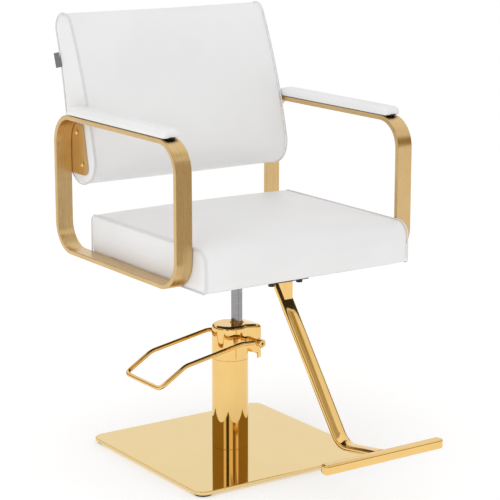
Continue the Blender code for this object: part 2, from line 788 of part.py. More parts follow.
def seat_rails():
    """Flat bars let into the seat's underside, one end on each arm loop."""
    reach = ARM_INNER - GAP
    for name, y in (("front", -RAIL_Y), ("back", RAIL_Y)):
        low = (ROD_X - reach, y - RAIL_WIDTH / 2, RAIL_BOTTOM)
        high = (ROD_X + reach, y + RAIL_WIDTH / 2, RAIL_BOTTOM + RAIL_THICK)
        rail = finish(f"seat_rail_{name}", box(low, high), dark_steel(), upper_origin())
        for i, side in enumerate((-1, 1), 1):
            hole = rod(MOUNT_BOLT_R + BOLT_GAP, low[2] - CUT, high[2] + CUT,
                       (ROD_X + side * MOUNT_BOLT_X, y), sides=12)
            cut(rail, f"cut_rail_{name}_{i}", hole)


def seat_mount():
    """Steel plate under the rails, with the hub that sits on the rod."""
    outline = rounded_box((ROD_X - MOUNT_HALF_X, -MOUNT_HALF_Y), (ROD_X + MOUNT_HALF_X, MOUNT_HALF_Y),
                          MOUNT_CORNER, 3)
    plate = finish("seat_mount_plate", prism(outline, MOUNT_BOTTOM, MOUNT_TOP - GAP), dark_steel(),
                   upper_origin())
    for i, place in enumerate(rail_bolt_places(), 1):
        hole = rod(MOUNT_BOLT_R + BOLT_GAP, MOUNT_BOTTOM - CUT, MOUNT_TOP + CUT, place, sides=12)
        cut(plate, f"cut_mount_{i}", hole)
        length = BOARD_TOP - MOUNT_BOTTOM - MOUNT_BOLT_END
        bolt(f"mount_bolt_{i}", MOUNT_BOLT_HEAD_R, MOUNT_BOLT_HEAD, MOUNT_BOLT_R, length,
             (*place, MOUNT_BOTTOM - GAP), (0, 0, 1), dark_steel(), 12)
    top = MOUNT_BOTTOM - GAP
    bore = ROD_R + GAP
    profile = [(bore, HUB_BOTTOM), (HUB_R, HUB_BOTTOM), (HUB_R, top), (0, top),
               (0, top - HUB_ROOF), (bore, top - HUB_ROOF)]
    finish("swivel_hub", turned(profile, (ROD_X, 0, 0)), dark_steel(), upper_origin())


# ---------------------------------------------------------------- arms

def arm_ring(side):
    """Closed loop of flat bar, wide in X."""
    outer = rounded_box((ARM_FRONT, ARM_BOTTOM), (ARM_BACK, ARM_TOP), ARM_CORNER, 8)
    t = ARM_THICK
    inner = rounded_box((ARM_FRONT + t, ARM_BOTTOM + t), (ARM_BACK - t, ARM_TOP - t),
                        ARM_CORNER - t, 8)
    near, far = ROD_X + side * ARM_INNER, ROD_X + side * ARM_HALF
    rings = [(outer, near), (outer, far), (inner, far), (inner, near)]
    return loft([[(x, y, z) for y, z in outline] for outline, x in rings], closed=True)


def arm_parts():
    middle = ARM_HALF - ARM_WIDTH / 2
    for name, side in (("left", 1), ("right", -1)):
        finish(f"arm_loop_{name}", arm_ring(side), brushed_gold(), upper_origin())
        x = ROD_X + side * middle
        half = ARMPAD_WIDTH / 2
        inset = STRIP_INSET
        strip = rounded_box((x - half + inset, ARMPAD_FRONT + inset),
                            (x + half - inset, ARMPAD_BACK - inset), STRIP_CORNER, 3)
        finish(f"arm_strip_{name}", prism(strip, STRIP_BOTTOM, STRIP_BOTTOM + STRIP_HEIGHT),
               black_plastic(), upper_origin())
        pad = rounded_box((x - half, ARMPAD_FRONT), (x + half, ARMPAD_BACK), ARMPAD_CORNER, 4)
        made = prism(pad, ARMPAD_BOTTOM, ARMPAD_BOTTOM + ARMPAD_HEIGHT - STRIP_HEIGHT)
        cushion = finish(f"arm_pad_{name}", made, white_vinyl(), upper_origin())
        bevel(cushion, ARMPAD_EDGE, 2, 60)


# ---------------------------------------------------------------- backrest

def back_line(share):
    """Point, forward direction and half thickness at a share of the backrest's centre line."""
    foot, head = Vector(BACK_FOOT), Vector(BACK_HEAD)
    along = (head - foot).normalized()
    ahead = Vector((-along.y, along.x))
    bow = 4 * BACK_BOW * share * (1 - share)
    slope = 4 * BACK_BOW * (1 - 2 * share) / (head - foot).length
    point = foot.lerp(head, share) + ahead * bow
    tangent = (along + ahead * slope).normalized()
    radius = BACK_FOOT_R + (BACK_HEAD_R - BACK_FOOT_R) * share
    return point, Vector((-tangent.y, tangent.x)), radius


def back_profile(steps=9, cap=7):
    """Side outline (y, z) of the backrest: two faces joined by round ends."""
    front, rear = [], []
    for i in range(steps + 1):
        point, ahead, radius = back_line(i / steps)
        front.append(point + ahead * radius)
        rear.append(point - ahead * radius)
    ends = []
    for share, turn in ((1.0, -1), (0.0, -1)):
        point, ahead, radius = back_line(share)
        start = atan2(ahead.y, ahead.x) if share else atan2(-ahead.y, -ahead.x)
        ends.append([Vector(p) for p in arc(point, radius, start, start + turn * pi, cap)][1:-1])
    return [tuple(p) for p in front + ends[0] + rear[::-1] + ends[1]]


def backboard_profile(grow=0.0, steps=6):
    half = BACKBOARD_THICK / 2 + grow
    spare = grow / (Vector(BACK_HEAD) - Vector(BACK_FOOT)).length
    first, last = BACKBOARD_START - spare, BACKBOARD_END + spare
    front, rear = [], []
    for i in range(steps + 1):
        point, ahead, _ = back_line(first + (last - first) * i / steps)
        front.append(tuple(point + ahead * half))
        rear.append(tuple(point - ahead * half))
    return front + rear[::-1]


def backrest():
    outline = back_profile()
    rings = [[(ROD_X + side * BACK_HALF, y, z) for y, z in outline] for side in (-1, 1)]
    cushion = finish("backrest_cushion", loft(rings), white_vinyl(), upper_origin())
    bevel(cushion, BACK_EDGE, 2, 60)
    half = BACK_HALF - BACKBOARD_MARGIN
    room = prism(backboard_profile(GAP), ROD_X - half - GAP, ROD_X + half + GAP, "x")
    cut(cushion, "cut_backboard_room", room)
    board = finish("backrest_board", prism(backboard_profile(), ROD_X - half, ROD_X + half, "x"),
                   plywood(), upper_origin())
    for name, side in (("left", 1), ("right", -1)):
        bracket = back_bracket(name, side)
        outside = ROD_X + side * ARM_INNER
        for i, (y, z) in enumerate(BACK_BOLTS, 1):
            ends = sorted((outside + side * CUT, outside - side * (BACK_BOLT_LENGTH + BOLT_GAP)))
            for body in (cushion, board, bracket):
                hole = rod(BACK_BOLT_R + BOLT_GAP, *ends, (y, z), "x", 12)
                cut(body, f"cut_{body.name}_{name}_{i}", hole)
            bolt(f"back_bolt_{name}_{i}", BACK_BOLT_HEAD_R, BACK_BOLT_HEAD, BACK_BOLT_R,
                 BACK_BOLT_LENGTH, (outside + side * GAP, y, z), (-side, 0, 0), polished_gold())


def back_bracket(name, side):
    """Plate welded inside the arm loop's rear upright and bolted to the backrest's side."""
    corners = [(BRACKET_BACK, 0, BRACKET_TOP), (BRACKET_FRONT_TOP, 0, BRACKET_TOP),
               (BRACKET_FRONT_BOTTOM, 0, BRACKET_BOTTOM), (BRACKET_BACK, 0, BRACKET_BOTTOM)]
    radii = [BRACKET_TOP_R, BRACKET_BOTTOM_R]
    outline = [(p.x, p.z) for p in fillet_path(corners, radii, 4)]
    outside = ROD_X + side * (ARM_INNER - GAP)
    low, high = sorted((outside, outside - side * BRACKET_THICK))
    return finish(f"back_bracket_{name}", prism(outline, low, high, "x"), brushed_gold(),
                  upper_origin())


def back_tag():
    """Plain fabric tag sewn into the rear seam, pointing out across the corner."""
    share = (TAG_Z - BACK_FOOT[1]) / (BACK_HEAD[1] - BACK_FOOT[1])
    point, ahead, radius = back_line(share)
    core = point - ahead * (radius - BACK_EDGE)
    out = Vector((-1, -ahead.x, -ahead.y)).normalized()
    along = Vector((0, ahead.y, -ahead.x))
    face = along.cross(out) * TAG_THICK / 2
    root = Vector((ROD_X - BACK_HALF + BACK_EDGE, *core)) + out * (BACK_EDGE + TAG_GAP)
    outline = [root + along * u * TAG_HEIGHT / 2 + out * v * TAG_REACH
               for u, v in ((-1, 0), (1, 0), (1, 1), (-1, 1))]
    made = loft([[corner + face * side for corner in outline] for side in (-1, 1)])
    finish("back_tag", made, grey_fabric(), upper_origin())


# ---------------------------------------------------------------- footrest

def post_line():
    """Corner points of the post's centre line in (y, z), from the seat down to the T-bar."""
    lean = sin(POST_LEAN) / cos(POST_LEAN)
    rise = sin(POST_RISE) / cos(POST_RISE)
    y, z = POST_PASS
    above = POST_TOP + POST_DEPTH
    top = Vector((y + (above - z) * lean, above))
    end = Vector((TBAR_BACK + GAP, POST_END_Z))
    drop = (z - end.y + rise * (y - end.x)) / (1 + rise * lean)
    return top, Vector((y - drop * lean, z - drop)), end


def footrest_post():
    """Flat oval tube, wide in X, bent forwards into the T-bar."""
    path = [(0, p.x, p.y) for p in post_line()]
    line = fillet_path(path, [POST_BEND_R], 8)
    section = rounded_box((-POST_WIDTH / 2, -POST_DEPTH / 2), (POST_WIDTH / 2, POST_DEPTH / 2),
                          POST_CORNER, 5)
    rings = []
    for i, point in enumerate(line):
        before, after = line[max(i - 1, 0)], line[min(i + 1, len(line) - 1)]
        along = (after - before).normalized()
        out = Vector((0, along.z, -along.y))
        if i == len(line) - 1:
            out = Vector((0, 0, 1 / cos(POST_RISE)))
        rings.append([(ROD_X + u, *(point + out * v).yz) for u, v in section])
    post = finish("footrest_post", loft(rings), polished_gold(), upper_origin())
    above = 4 * POST_DEPTH
    room = box((ROD_X - POST_WIDTH, line[0].y - above, POST_TOP),
               (ROD_X + POST_WIDTH, line[0].y + above, POST_TOP + above))
    cut(post, "cut_post_top", room)


def footrest_gusset():
    """Wedge between the post's front face and the channel above it."""
    lean = sin(POST_LEAN) / cos(POST_LEAN)
    off = (POST_DEPTH / 2 + GAP) / cos(POST_LEAN)
    y, z = POST_PASS
    bottom = z + (GUSSET_FRONT + off - y) / lean
    outline = [(GUSSET_FRONT, bottom), (GUSSET_FRONT, POST_TOP),
               (y + (POST_TOP - z) * lean - off, POST_TOP)]
    made = prism(outline, ROD_X - GUSSET_HALF, ROD_X + GUSSET_HALF, "x")
    finish("footrest_gusset", made, polished_gold(), upper_origin())


def footrest_bar():
    outline = rounded_box((TBAR_FRONT, TBAR_TOP - TBAR_HEIGHT), (TBAR_BACK, TBAR_TOP), TBAR_CORNER, 2)
    low, high = ROD_X - TBAR_HALF, ROD_X + TBAR_HALF
    middle = Vector((TBAR_FRONT + TBAR_DEPTH / 2, TBAR_TOP - TBAR_HEIGHT / 2))
    rings = []
    ends = [(low, 1), (high, -1)]
    for x, inward in ends:
        part = []
        for i in range(4):
            turn = pi / 2 * i / 3
            at = x + inward * TBAR_ROUND * (1 - sin(turn))
            shrink = 1 - (1 - cos(pi / 2 - turn)) * TBAR_ROUND / TBAR_DEPTH * 1.2
            part.append([(at, *(middle + (Vector(p) - middle) * shrink)) for p in outline])
        rings += part if inward == 1 else part[::-1]
    finish("footrest_bar", loft(rings), polished_gold(), upper_origin())


def footrest_channel():
    """Folded steel channel that carries the footrest under the mount plate."""
    x0, x1 = ROD_X - CHANNEL_HALF_X, ROD_X + CHANNEL_HALF_X
    z0, z1 = CHANNEL_BOTTOM, CHANNEL_TOP
    t = CHANNEL_WALL
    outline = [(x0, z0), (x1, z0), (x1, z1), (x1 - t, z1), (x1 - t, z0 + t), (x0 + t, z0 + t),
               (x0 + t, z1), (x0, z1)]
    made = prism(outline, CHANNEL_FRONT, CHANNEL_BACK, "y")
    channel = finish("footrest_channel", made, dark_steel(), upper_origin())
    for name, side in (("left", 1), ("right", -1)):
        place = (ROD_X + side * FOOTREST_BOLT_X, FOOTREST_BOLT_Y)
        hole = rod(FOOTREST_BOLT_R + BOLT_GAP, z0 - CUT, (z0 + z1) / 2, place, sides=12)
        cut(channel, f"cut_channel_{name}", hole)
        seat = z0 - GAP
        low, high = seat - FOOTREST_NUT_HEIGHT, z1 - FOOTREST_BOLT_END
        profile = [(0, low), (FOOTREST_NUT_R, low), (FOOTREST_NUT_R, seat),
                   (FOOTREST_BOLT_R, seat), (FOOTREST_BOLT_R, high), (0, high)]
        nut = turned(profile, (*place, 0), sides=12)
        finish(f"footrest_bolt_{name}", nut, dark_steel(), upper_origin())


# ---------------------------------------------------------------- assembly

def clear_scene():
    for item in list(bpy.data.objects):
        bpy.data.objects.remove(item, do_unlink=True)


def build():
    clear_scene()
    for make in (base_plate, foot_pads, pump_foot, pump_tube, pump_cap, inner_cylinder,
                 rod_gland, piston_rod, piston, pedal_shafts, pedal_bosses, pedal_lever,
                 pump_yoke, pump_plunger, plunger_barrel, plunger_spring, seat_cushion,
                 seat_board, seat_rails, seat_mount, arm_parts, backrest, back_tag,
                 footrest_post, footrest_gusset, footrest_bar, footrest_channel):
        make()


build()
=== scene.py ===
"""Looks of a styling chair: gold hydraulic base, brushed gold arm loops, white vinyl cushions.

Metres, +Z up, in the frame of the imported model. The sitter faces -Y.
"""
import json
from math import atan2, copysign, cos, pi, radians, sin, tan, tau

import bmesh
import bpy
import numpy as np
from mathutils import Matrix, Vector
from mathutils.bvhtree import BVHTree

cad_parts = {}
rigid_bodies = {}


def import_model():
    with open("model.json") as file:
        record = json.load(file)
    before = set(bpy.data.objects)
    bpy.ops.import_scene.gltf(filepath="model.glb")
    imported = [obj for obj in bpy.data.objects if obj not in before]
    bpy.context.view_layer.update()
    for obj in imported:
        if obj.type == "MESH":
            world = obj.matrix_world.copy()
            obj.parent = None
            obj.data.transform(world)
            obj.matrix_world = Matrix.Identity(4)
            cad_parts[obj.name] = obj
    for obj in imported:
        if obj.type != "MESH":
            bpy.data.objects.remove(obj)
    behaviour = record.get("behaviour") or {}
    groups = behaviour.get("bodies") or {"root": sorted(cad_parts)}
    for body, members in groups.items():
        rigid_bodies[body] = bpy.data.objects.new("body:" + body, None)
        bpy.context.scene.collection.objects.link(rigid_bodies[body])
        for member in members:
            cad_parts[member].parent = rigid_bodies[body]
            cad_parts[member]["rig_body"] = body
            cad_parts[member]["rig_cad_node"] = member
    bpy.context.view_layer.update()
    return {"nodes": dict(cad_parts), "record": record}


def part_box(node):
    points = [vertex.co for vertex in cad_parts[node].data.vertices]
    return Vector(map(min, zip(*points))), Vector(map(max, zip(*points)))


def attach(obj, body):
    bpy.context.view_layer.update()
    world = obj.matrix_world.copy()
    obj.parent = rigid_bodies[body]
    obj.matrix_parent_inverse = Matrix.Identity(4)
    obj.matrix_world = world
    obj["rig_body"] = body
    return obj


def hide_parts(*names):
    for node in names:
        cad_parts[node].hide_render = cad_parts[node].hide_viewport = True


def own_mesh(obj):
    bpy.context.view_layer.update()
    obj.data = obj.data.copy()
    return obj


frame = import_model()
NODES = frame["nodes"]

# Clearance between a new piece and its neighbour
GAP = 0.0003

# Widths of the worn edges, from the smallest screws to cast and turned parts
TINY_EDGE = 0.0003
SMALL_EDGE = 0.0004
SHEET_EDGE = 0.0005
STEEL_EDGE = 0.0006
TURNED_EDGE = 0.0008

# Arm loops and the dark strips under their pads
ARM_THICK = 0.010
ARM_CORNER = 0.065
ARM_EDGE = 0.0012
STRIP_SIDE_INSET = 0.006
STRIP_END_INSET = 0.0006
STRIP_CORNER = 0.006

# Base plate and column
PLATE_CORNER = 0.025
PLATE_EDGE = 0.0016
TUBE_WALL = 0.002
GLAND_HEIGHT = 0.0022

# Pedal: the subdivided bar is swelled back to its full thickness
LEVER_SWELL = 0.00032
# Painted shade inside each pin's socket: the socket's radius, the bare rim at the tip, and where the
# shade starts inward
PIN_SOCKET_R = 0.0029
PIN_TIP = 0.001
PIN_INNER = 0.05

# Seat cushion
SEAT_EDGE_TOP = 0.532
SEAT_FRONT_R = 0.030
SEAT_BACK_R = 0.018
SEAT_BOTTOM_R = 0.006
SEAT_CROWN = 0.012

# Backrest: a slab that tapers along a curved centre line from its foot to its head
BACK_FOOT = Vector((0.225, 0.644))
BACK_HEAD = Vector((0.296, 0.920))
BACK_FOOT_R = 0.0565
BACK_HEAD_R = 0.0345
BACK_BOW = 0.008

# Arm pads
ARMPAD_SKIRT = 0.0005
ARMPAD_LOW_R = 0.0036
ARMPAD_CORNER = 0.010
ARMPAD_TOP_R = 0.0075

# Foam: size of the remeshed skin, how far it may swell, and where it is held
CUSHION_SKIN = 0.006
ARMPAD_SKIN = 0.003
CUSHION_SHRINK = 0.0010
SEAT_SIDE_GAP = 0.0004
BACK_SIDE_GAP = 0.0003
SEAT_SWELL = 0.007
BACK_SWELL = 0.004
ARMPAD_SWELL = 0.0010
SIDE_SWELL = 0.0006
BACK_SIDE_SWELL = (0.0002, 0.0027)
BACK_FREE_START = 0.010
BACK_FREE_RISE = 0.05
FOAM_PRESSURE = 4.0
FOAM_STEPS = 20
SEWN_REACH = 0.006
SEWN_SIDE = 0.0065
STAPLED_RISE = 0.010
ARMPAD_GLUED_RISE = 0.0045

# Seams of the cushions
PIPING_R = 0.0017
PIPING_PITCH = 0.004
PIPING_SIDES = 10
PIPING_INWARD = 0.9
PIPING_SINK = 0.55
SEAM_INSET = 0.0065
STITCH_LENGTH = 0.0032
STITCH_PITCH = 0.0052
STITCH_R = 0.00042
STITCH_SIDES = 6
STITCH_LINE_RISE = 0.002
# Share along the stitch, thickness and lift of its four rings
STITCH_RINGS = ((0.0, 0.4, 0.0), (0.25, 1.0, 0.8), (0.75, 1.0, 0.8), (1.0, 0.4, 0.0))

# Cloth under the seat
DUST_INSET = 0.014
DUST_CORNER = 0.012
DUST_BELOW = 0.0001
DUST_ABOVE = 0.0012

# Footrest leg and tread
LEG_WIDTH = 0.0315
LEG_DEPTH = 0.0175
LEG_FULLNESS = 2.9
LEG_LEAN = radians(37.5)
LEG_RISE = radians(8.6)
LEG_BEND_R = 0.050
LEG_PASS = (-0.2187, 0.3369)
LEG_END_Z = 0.1325
TREAD_END_R = 0.008
TREAD_EDGE = 0.0045

# Camera
CAMERA_PLACE = Vector((-2.0985, -3.1630, 1.3139))
CAMERA_TURN = (radians(77.233), 0.0, radians(-34.224))
CAMERA_LENS = 129.6
SCREEN_RIGHT = (0.827, -0.562, 0.0)
TOWARDS_CAMERA = (-0.562, -0.827, 0.0)

# Studio room that the metal reflects, its even fill for cloth and vinyl, and the floor
STUDIO_STRENGTH = 0.95
ROOM_FILL = 0.79
DARK_TINT = (1.65, 1.12, 0.15)
FLOOR_GLOW = 0.37
# Share of a full turn, from straight behind the chair over its right to behind again
STUDIO_PANELS = [(0.000, 1.0), (0.050, 1.0), (0.060, 0.22), (0.380, 0.22), (0.390, 1.0),
                 (0.428, 1.0), (0.434, 0.05), (0.480, 0.05), (0.486, 1.0), (0.544, 1.0),
                 (0.550, 0.16), (0.594, 0.16), (0.600, 1.0), (0.646, 1.0), (0.652, 0.22),
                 (0.940, 0.22), (0.950, 1.0)]
# Height as a share from straight down to straight up
STUDIO_DOME = [(0.50, 0.95), (0.75, 1.0), (1.0, 1.15)]
STUDIO_MASK = [(0.50, 1.0), (0.69, 1.0), (0.71, 0.0)]
# A dark flag high up in front
CEILING_DARK = (0.46, 0.36, 0.13)
CEILING_TURN = [(0.36, 0.0), (0.38, 1.0), (0.735, 1.0), (0.74, 0.0)]
CEILING_RISE = [(0.84, 0.0), (0.855, 1.0), (0.945, 1.0), (0.96, 0.0)]
# A card beside the seat that only reflections see
CARD_LOW = (-0.36, -0.60, 0.30)
CARD_HIGH = (0.22, -0.60, 1.00)
CARD_COLOUR = (0.62, 0.56, 0.46)
FLOOR_SIDE = 60.0
FLOOR_COLOUR = (0.78, 0.78, 0.78)


# ---------------------------------------------------------------- material nodes

def blank_material(name, metallic, roughness, colour):
    made = bpy.data.materials.new(name)
    made.use_nodes = True
    shader = made.node_tree.nodes["Principled BSDF"]
    shader.inputs["Metallic"].default_value = metallic
    shader.inputs["Roughness"].default_value = roughness
    shader.inputs["Base Color"].default_value = (*colour, 1.0)
    made.diffuse_color = (*colour, 1.0)
    return made, made.node_tree, shader


def object_vector(tree, stretch=(1.0, 1.0, 1.0)):
    place = tree.nodes.new("ShaderNodeTexCoord")
    mapping = tree.nodes.new("ShaderNodeMapping")
    mapping.inputs["Scale"].default_value = stretch
    tree.links.new(place.outputs["Object"], mapping.inputs["Vector"])
    return mapping.outputs["Vector"]


def noise(tree, vector, scale, detail=3.0, roughness=0.5):
    made = tree.nodes.new("ShaderNodeTexNoise")
    made.inputs["Scale"].default_value = scale
    made.inputs["Detail"].default_value = detail
    made.inputs["Roughness"].default_value = roughness
    tree.links.new(vector, made.inputs["Vector"])
    return made.outputs["Fac"]


def cells(tree, vector, scale):
    made = tree.nodes.new("ShaderNodeTexVoronoi")
    made.feature = "F1"
    made.inputs["Scale"].default_value = scale
    tree.links.new(vector, made.inputs["Vector"])
    return made.outputs["Distance"]


def spread(tree, value, low, high, start=0.3, end=0.7):
    """Bring a 0..1 pattern to a range of values."""
    made = tree.nodes.new("ShaderNodeMapRange")
    made.inputs["From Min"].default_value = start
    made.inputs["From Max"].default_value = end
    made.inputs["To Min"].default_value = low
    made.inputs["To Max"].default_value = high
    tree.links.new(value, made.inputs["Value"])
    return made.outputs["Result"]


def two_tone(tree, value, first, second, start=0.35, end=0.65):
    made = tree.nodes.new("ShaderNodeValToRGB")
    made.color_ramp.elements[0].position = start
    made.color_ramp.elements[0].color = (*first, 1.0)
    made.color_ramp.elements[1].position = end
    made.color_ramp.elements[1].color = (*second, 1.0)
    tree.links.new(value, made.inputs["Fac"])
    return made.outputs["Color"]


def add_bump(tree, shader, height, strength, distance, before=None):
    made = tree.nodes.new("ShaderNodeBump")
    made.inputs["Strength"].default_value = strength
    made.inputs["Distance"].default_value = distance
    tree.links.new(height, made.inputs["Height"])
    if before is not None:
        tree.links.new(before, made.inputs["Normal"])
    tree.links.new(made.outputs["Normal"], shader.inputs["Normal"])
    return made.outputs["Normal"]


# ---------------------------------------------------------------- finishes

def mirror_gold(name="mirror_gold", dim=(0.83, 0.55, 0.20), bright=(0.86, 0.58, 0.225)):
    """Polished gold-tone plating, with faint smears and a slight waviness."""
    made, tree, shader = blank_material(name, 1.0, 0.05, bright)
    vector = object_vector(tree)
    smear = noise(tree, vector, 14.0, 4.0)
    tone = two_tone(tree, smear, dim, bright)
    tree.links.new(tone, shader.inputs["Base Color"])
    fine = noise(tree, vector, 60.0, 5.0)
    tree.links.new(spread(tree, fine, 0.030, 0.075), shader.inputs["Roughness"])
    add_bump(tree, shader, noise(tree, vector, 9.0, 1.0), 0.05, 0.002)
    return made


def satin_gold():
    """Brushed gold-tone plating whose fine lines run along the bar."""
    made, tree, shader = blank_material("satin_gold", 1.0, 0.33, (0.60, 0.42, 0.20))
    lines = noise(tree, object_vector(tree, (1500.0, 9.0, 9.0)), 1.0, 3.0, 0.6)
    cloud = noise(tree, object_vector(tree), 22.0, 3.0)
    tone = two_tone(tree, lines, (0.60, 0.41, 0.18), (0.73, 0.52, 0.265), 0.30, 0.70)
    tree.links.new(tone, shader.inputs["Base Color"])
    rough = tree.nodes.new("ShaderNodeMath")
    rough.operation = "ADD"
    tree.links.new(spread(tree, lines, 0.22, 0.34), rough.inputs[0])
    tree.links.new(spread(tree, cloud, -0.02, 0.03), rough.inputs[1])
    tree.links.new(rough.outputs[0], shader.inputs["Roughness"])
    add_bump(tree, shader, lines, 0.22, 0.0003)
    return made


def rod_chrome():
    made, tree, shader = blank_material("rod_chrome", 1.0, 0.16, (0.29, 0.29, 0.31))
    rings = noise(tree, object_vector(tree, (10.0, 10.0, 900.0)), 1.0, 2.0)
    tree.links.new(spread(tree, rings, 0.12, 0.22), shader.inputs["Roughness"])
    tone = two_tone(tree, rings, (0.25, 0.25, 0.27), (0.35, 0.35, 0.37))
    tree.links.new(tone, shader.inputs["Base Color"])
    add_bump(tree, shader, rings, 0.08, 0.0002)
    return made


def black_paint():
    """Satin black paint with a fine orange peel and paler worn patches."""
    made, tree, shader = blank_material("black_paint", 0.0, 0.38, (0.012, 0.012, 0.013))
    vector = object_vector(tree)
    wear = noise(tree, vector, 45.0, 5.0)
    tree.links.new(two_tone(tree, wear, (0.010, 0.010, 0.011), (0.022, 0.021, 0.021)),
                   shader.inputs["Base Color"])
    tree.links.new(spread(tree, wear, 0.32, 0.46), shader.inputs["Roughness"])
    add_bump(tree, shader, noise(tree, vector, 900.0, 2.0), 0.12, 0.0003)
    return made


def bare_steel():
    made, tree, shader = blank_material("bare_steel", 1.0, 0.3, (0.52, 0.52, 0.54))
    turned = noise(tree, object_vector(tree, (30.0, 30.0, 700.0)), 1.0, 3.0)
    tree.links.new(spread(tree, turned, 0.22, 0.38), shader.inputs["Roughness"])
    tone = two_tone(tree, turned, (0.46, 0.46, 0.48), (0.58, 0.58, 0.59))
    tree.links.new(tone, shader.inputs["Base Color"])
    add_bump(tree, shader, turned, 0.1, 0.0002)
    return made


def foot_rubber():
    made, tree, shader = blank_material("foot_rubber", 0.0, 0.75, (0.018, 0.018, 0.018))
    vector = object_vector(tree)
    dust = noise(tree, vector, 80.0, 5.0)
    tree.links.new(two_tone(tree, dust, (0.014, 0.014, 0.014), (0.034, 0.033, 0.032)),
                   shader.inputs["Base Color"])
    tree.links.new(spread(tree, dust, 0.65, 0.85), shader.inputs["Roughness"])
    add_bump(tree, shader, noise(tree, vector, 1400.0, 2.0), 0.2, 0.0003)
    return made


def strip_plastic():
    made, tree, shader = blank_material("strip_plastic", 0.0, 0.42, (0.012, 0.012, 0.012))
    vector = object_vector(tree)
    tone = two_tone(tree, noise(tree, vector, 50.0), (0.010, 0.010, 0.010), (0.018, 0.018, 0.018))
    tree.links.new(tone, shader.inputs["Base Color"])
    grain = cells(tree, vector, 1600.0)
    tree.links.new(spread(tree, grain, 0.36, 0.48, 0.0, 0.8), shader.inputs["Roughness"])
    add_bump(tree, shader, grain, 0.15, 0.0002)
    return made


def white_vinyl(name="white_vinyl", colour=(0.86, 0.86, 0.865), shade=(0.835, 0.835, 0.84)):
    """Smooth white upholstery vinyl: pebbled grain, soft shine, faint unevenness."""
    made, tree, shader = blank_material(name, 0.0, 0.42, colour)
    vector = object_vector(tree)
    cloud = noise(tree, vector, 7.0, 4.0)
    tree.links.new(two_tone(tree, cloud, shade, colour), shader.inputs["Base Color"])
    pebbles = cells(tree, vector, 1050.0)
    wrinkle = noise(tree, vector, 420.0, 4.0, 0.6)
    tree.links.new(spread(tree, wrinkle, 0.36, 0.50), shader.inputs["Roughness"])
    shader.inputs["Specular IOR Level"].default_value = 0.42
    grain = add_bump(tree, shader, pebbles, 0.10, 0.00035)
    grain = add_bump(tree, shader, wrinkle, 0.10, 0.0005, grain)
    add_bump(tree, shader, noise(tree, vector, 16.0, 2.0), 0.12, 0.004, grain)
    return made


def thread_white():
    made, tree, shader = blank_material("thread_white", 0.0, 0.6, (0.74, 0.74, 0.75))
    twist = noise(tree, object_vector(tree), 2500.0, 2.0)
    tree.links.new(two_tone(tree, twist, (0.62, 0.62, 0.64), (0.80, 0.80, 0.81)),
                   shader.inputs["Base Color"])
    tree.links.new(spread(tree, twist, 0.5, 0.7), shader.inputs["Roughness"])
    add_bump(tree, shader, twist, 0.3, 0.0003)
    return made


def woven_grey():
    """Grey woven label cloth: warp and weft threads about 0.6 mm apart."""
    made, tree, shader = blank_material("woven_grey", 0.0, 0.85, (0.20, 0.20, 0.21))
    vector = object_vector(tree)
    waves = []
    for direction in ("Y", "Z"):
        wave = tree.nodes.new("ShaderNodeTexWave")
        wave.bands_direction = direction
        wave.inputs["Scale"].default_value = 520.0
        wave.inputs["Distortion"].default_value = 0.6
        tree.links.new(vector, wave.inputs["Vector"])
        waves.append(wave.outputs["Fac"])
    weave = tree.nodes.new("ShaderNodeMath")
    weave.operation = "MULTIPLY"
    tree.links.new(waves[0], weave.inputs[0])
    tree.links.new(waves[1], weave.inputs[1])
    tone = two_tone(tree, weave.outputs[0], (0.13, 0.13, 0.14), (0.34, 0.34, 0.35), 0.1, 0.9)
    tree.links.new(tone, shader.inputs["Base Color"])
    tree.links.new(spread(tree, weave.outputs[0], 0.75, 0.92, 0.0, 1.0), shader.inputs["Roughness"])
    shader.inputs["Sheen Weight"].default_value = 0.3
    add_bump(tree, shader, weave.outputs[0], 0.5, 0.0004)
    return made


def dust_cloth():
    """Black non-woven cloth under the seat."""
    made, tree, shader = blank_material("dust_cloth", 0.0, 0.9, (0.02, 0.02, 0.02))
    vector = object_vector(tree)
    felt = noise(tree, vector, 700.0, 4.0, 0.7)
    tree.links.new(two_tone(tree, felt, (0.012, 0.012, 0.013), (0.035, 0.035, 0.036)),
                   shader.inputs["Base Color"])
    tree.links.new(spread(tree, felt, 0.82, 0.96), shader.inputs["Roughness"])
    add_bump(tree, shader, cells(tree, vector, 600.0), 0.4, 0.0005)
    return made


def ply():
    made, tree, shader = blank_material("ply", 0.0, 0.6, (0.42, 0.27, 0.14))
    grain = noise(tree, object_vector(tree, (12.0, 160.0, 700.0)), 1.0, 4.0)
    tree.links.new(two_tone(tree, grain, (0.34, 0.21, 0.10), (0.50, 0.34, 0.18)),
                   shader.inputs["Base Color"])
    tree.links.new(spread(tree, grain, 0.5, 0.7), shader.inputs["Roughness"])
    add_bump(tree, shader, grain, 0.2, 0.0004)
    return made


GOLD = mirror_gold()
# Painted highlight: the plate gets a paler, lit copy of the polished gold
PLATE_GOLD_LIT = mirror_gold("plate_gold_lit", (0.845, 0.625, 0.275), (0.855, 0.635, 0.285))
BRUSHED = satin_gold()
CHROME = rod_chrome()
BLACK = black_paint()
STEEL = bare_steel()
RUBBER = foot_rubber()
PLASTIC = strip_plastic()
VINYL = white_vinyl()
# Painted shade: the piping is a darker copy of the white vinyl, for the shadow lines along the seams
SHADED_PIPING = white_vinyl("piping_vinyl_shaded", (0.74, 0.74, 0.755), (0.71, 0.71, 0.73))
THREAD = thread_white()
WOVEN = woven_grey()
DUST = dust_cloth()
PLY = ply()

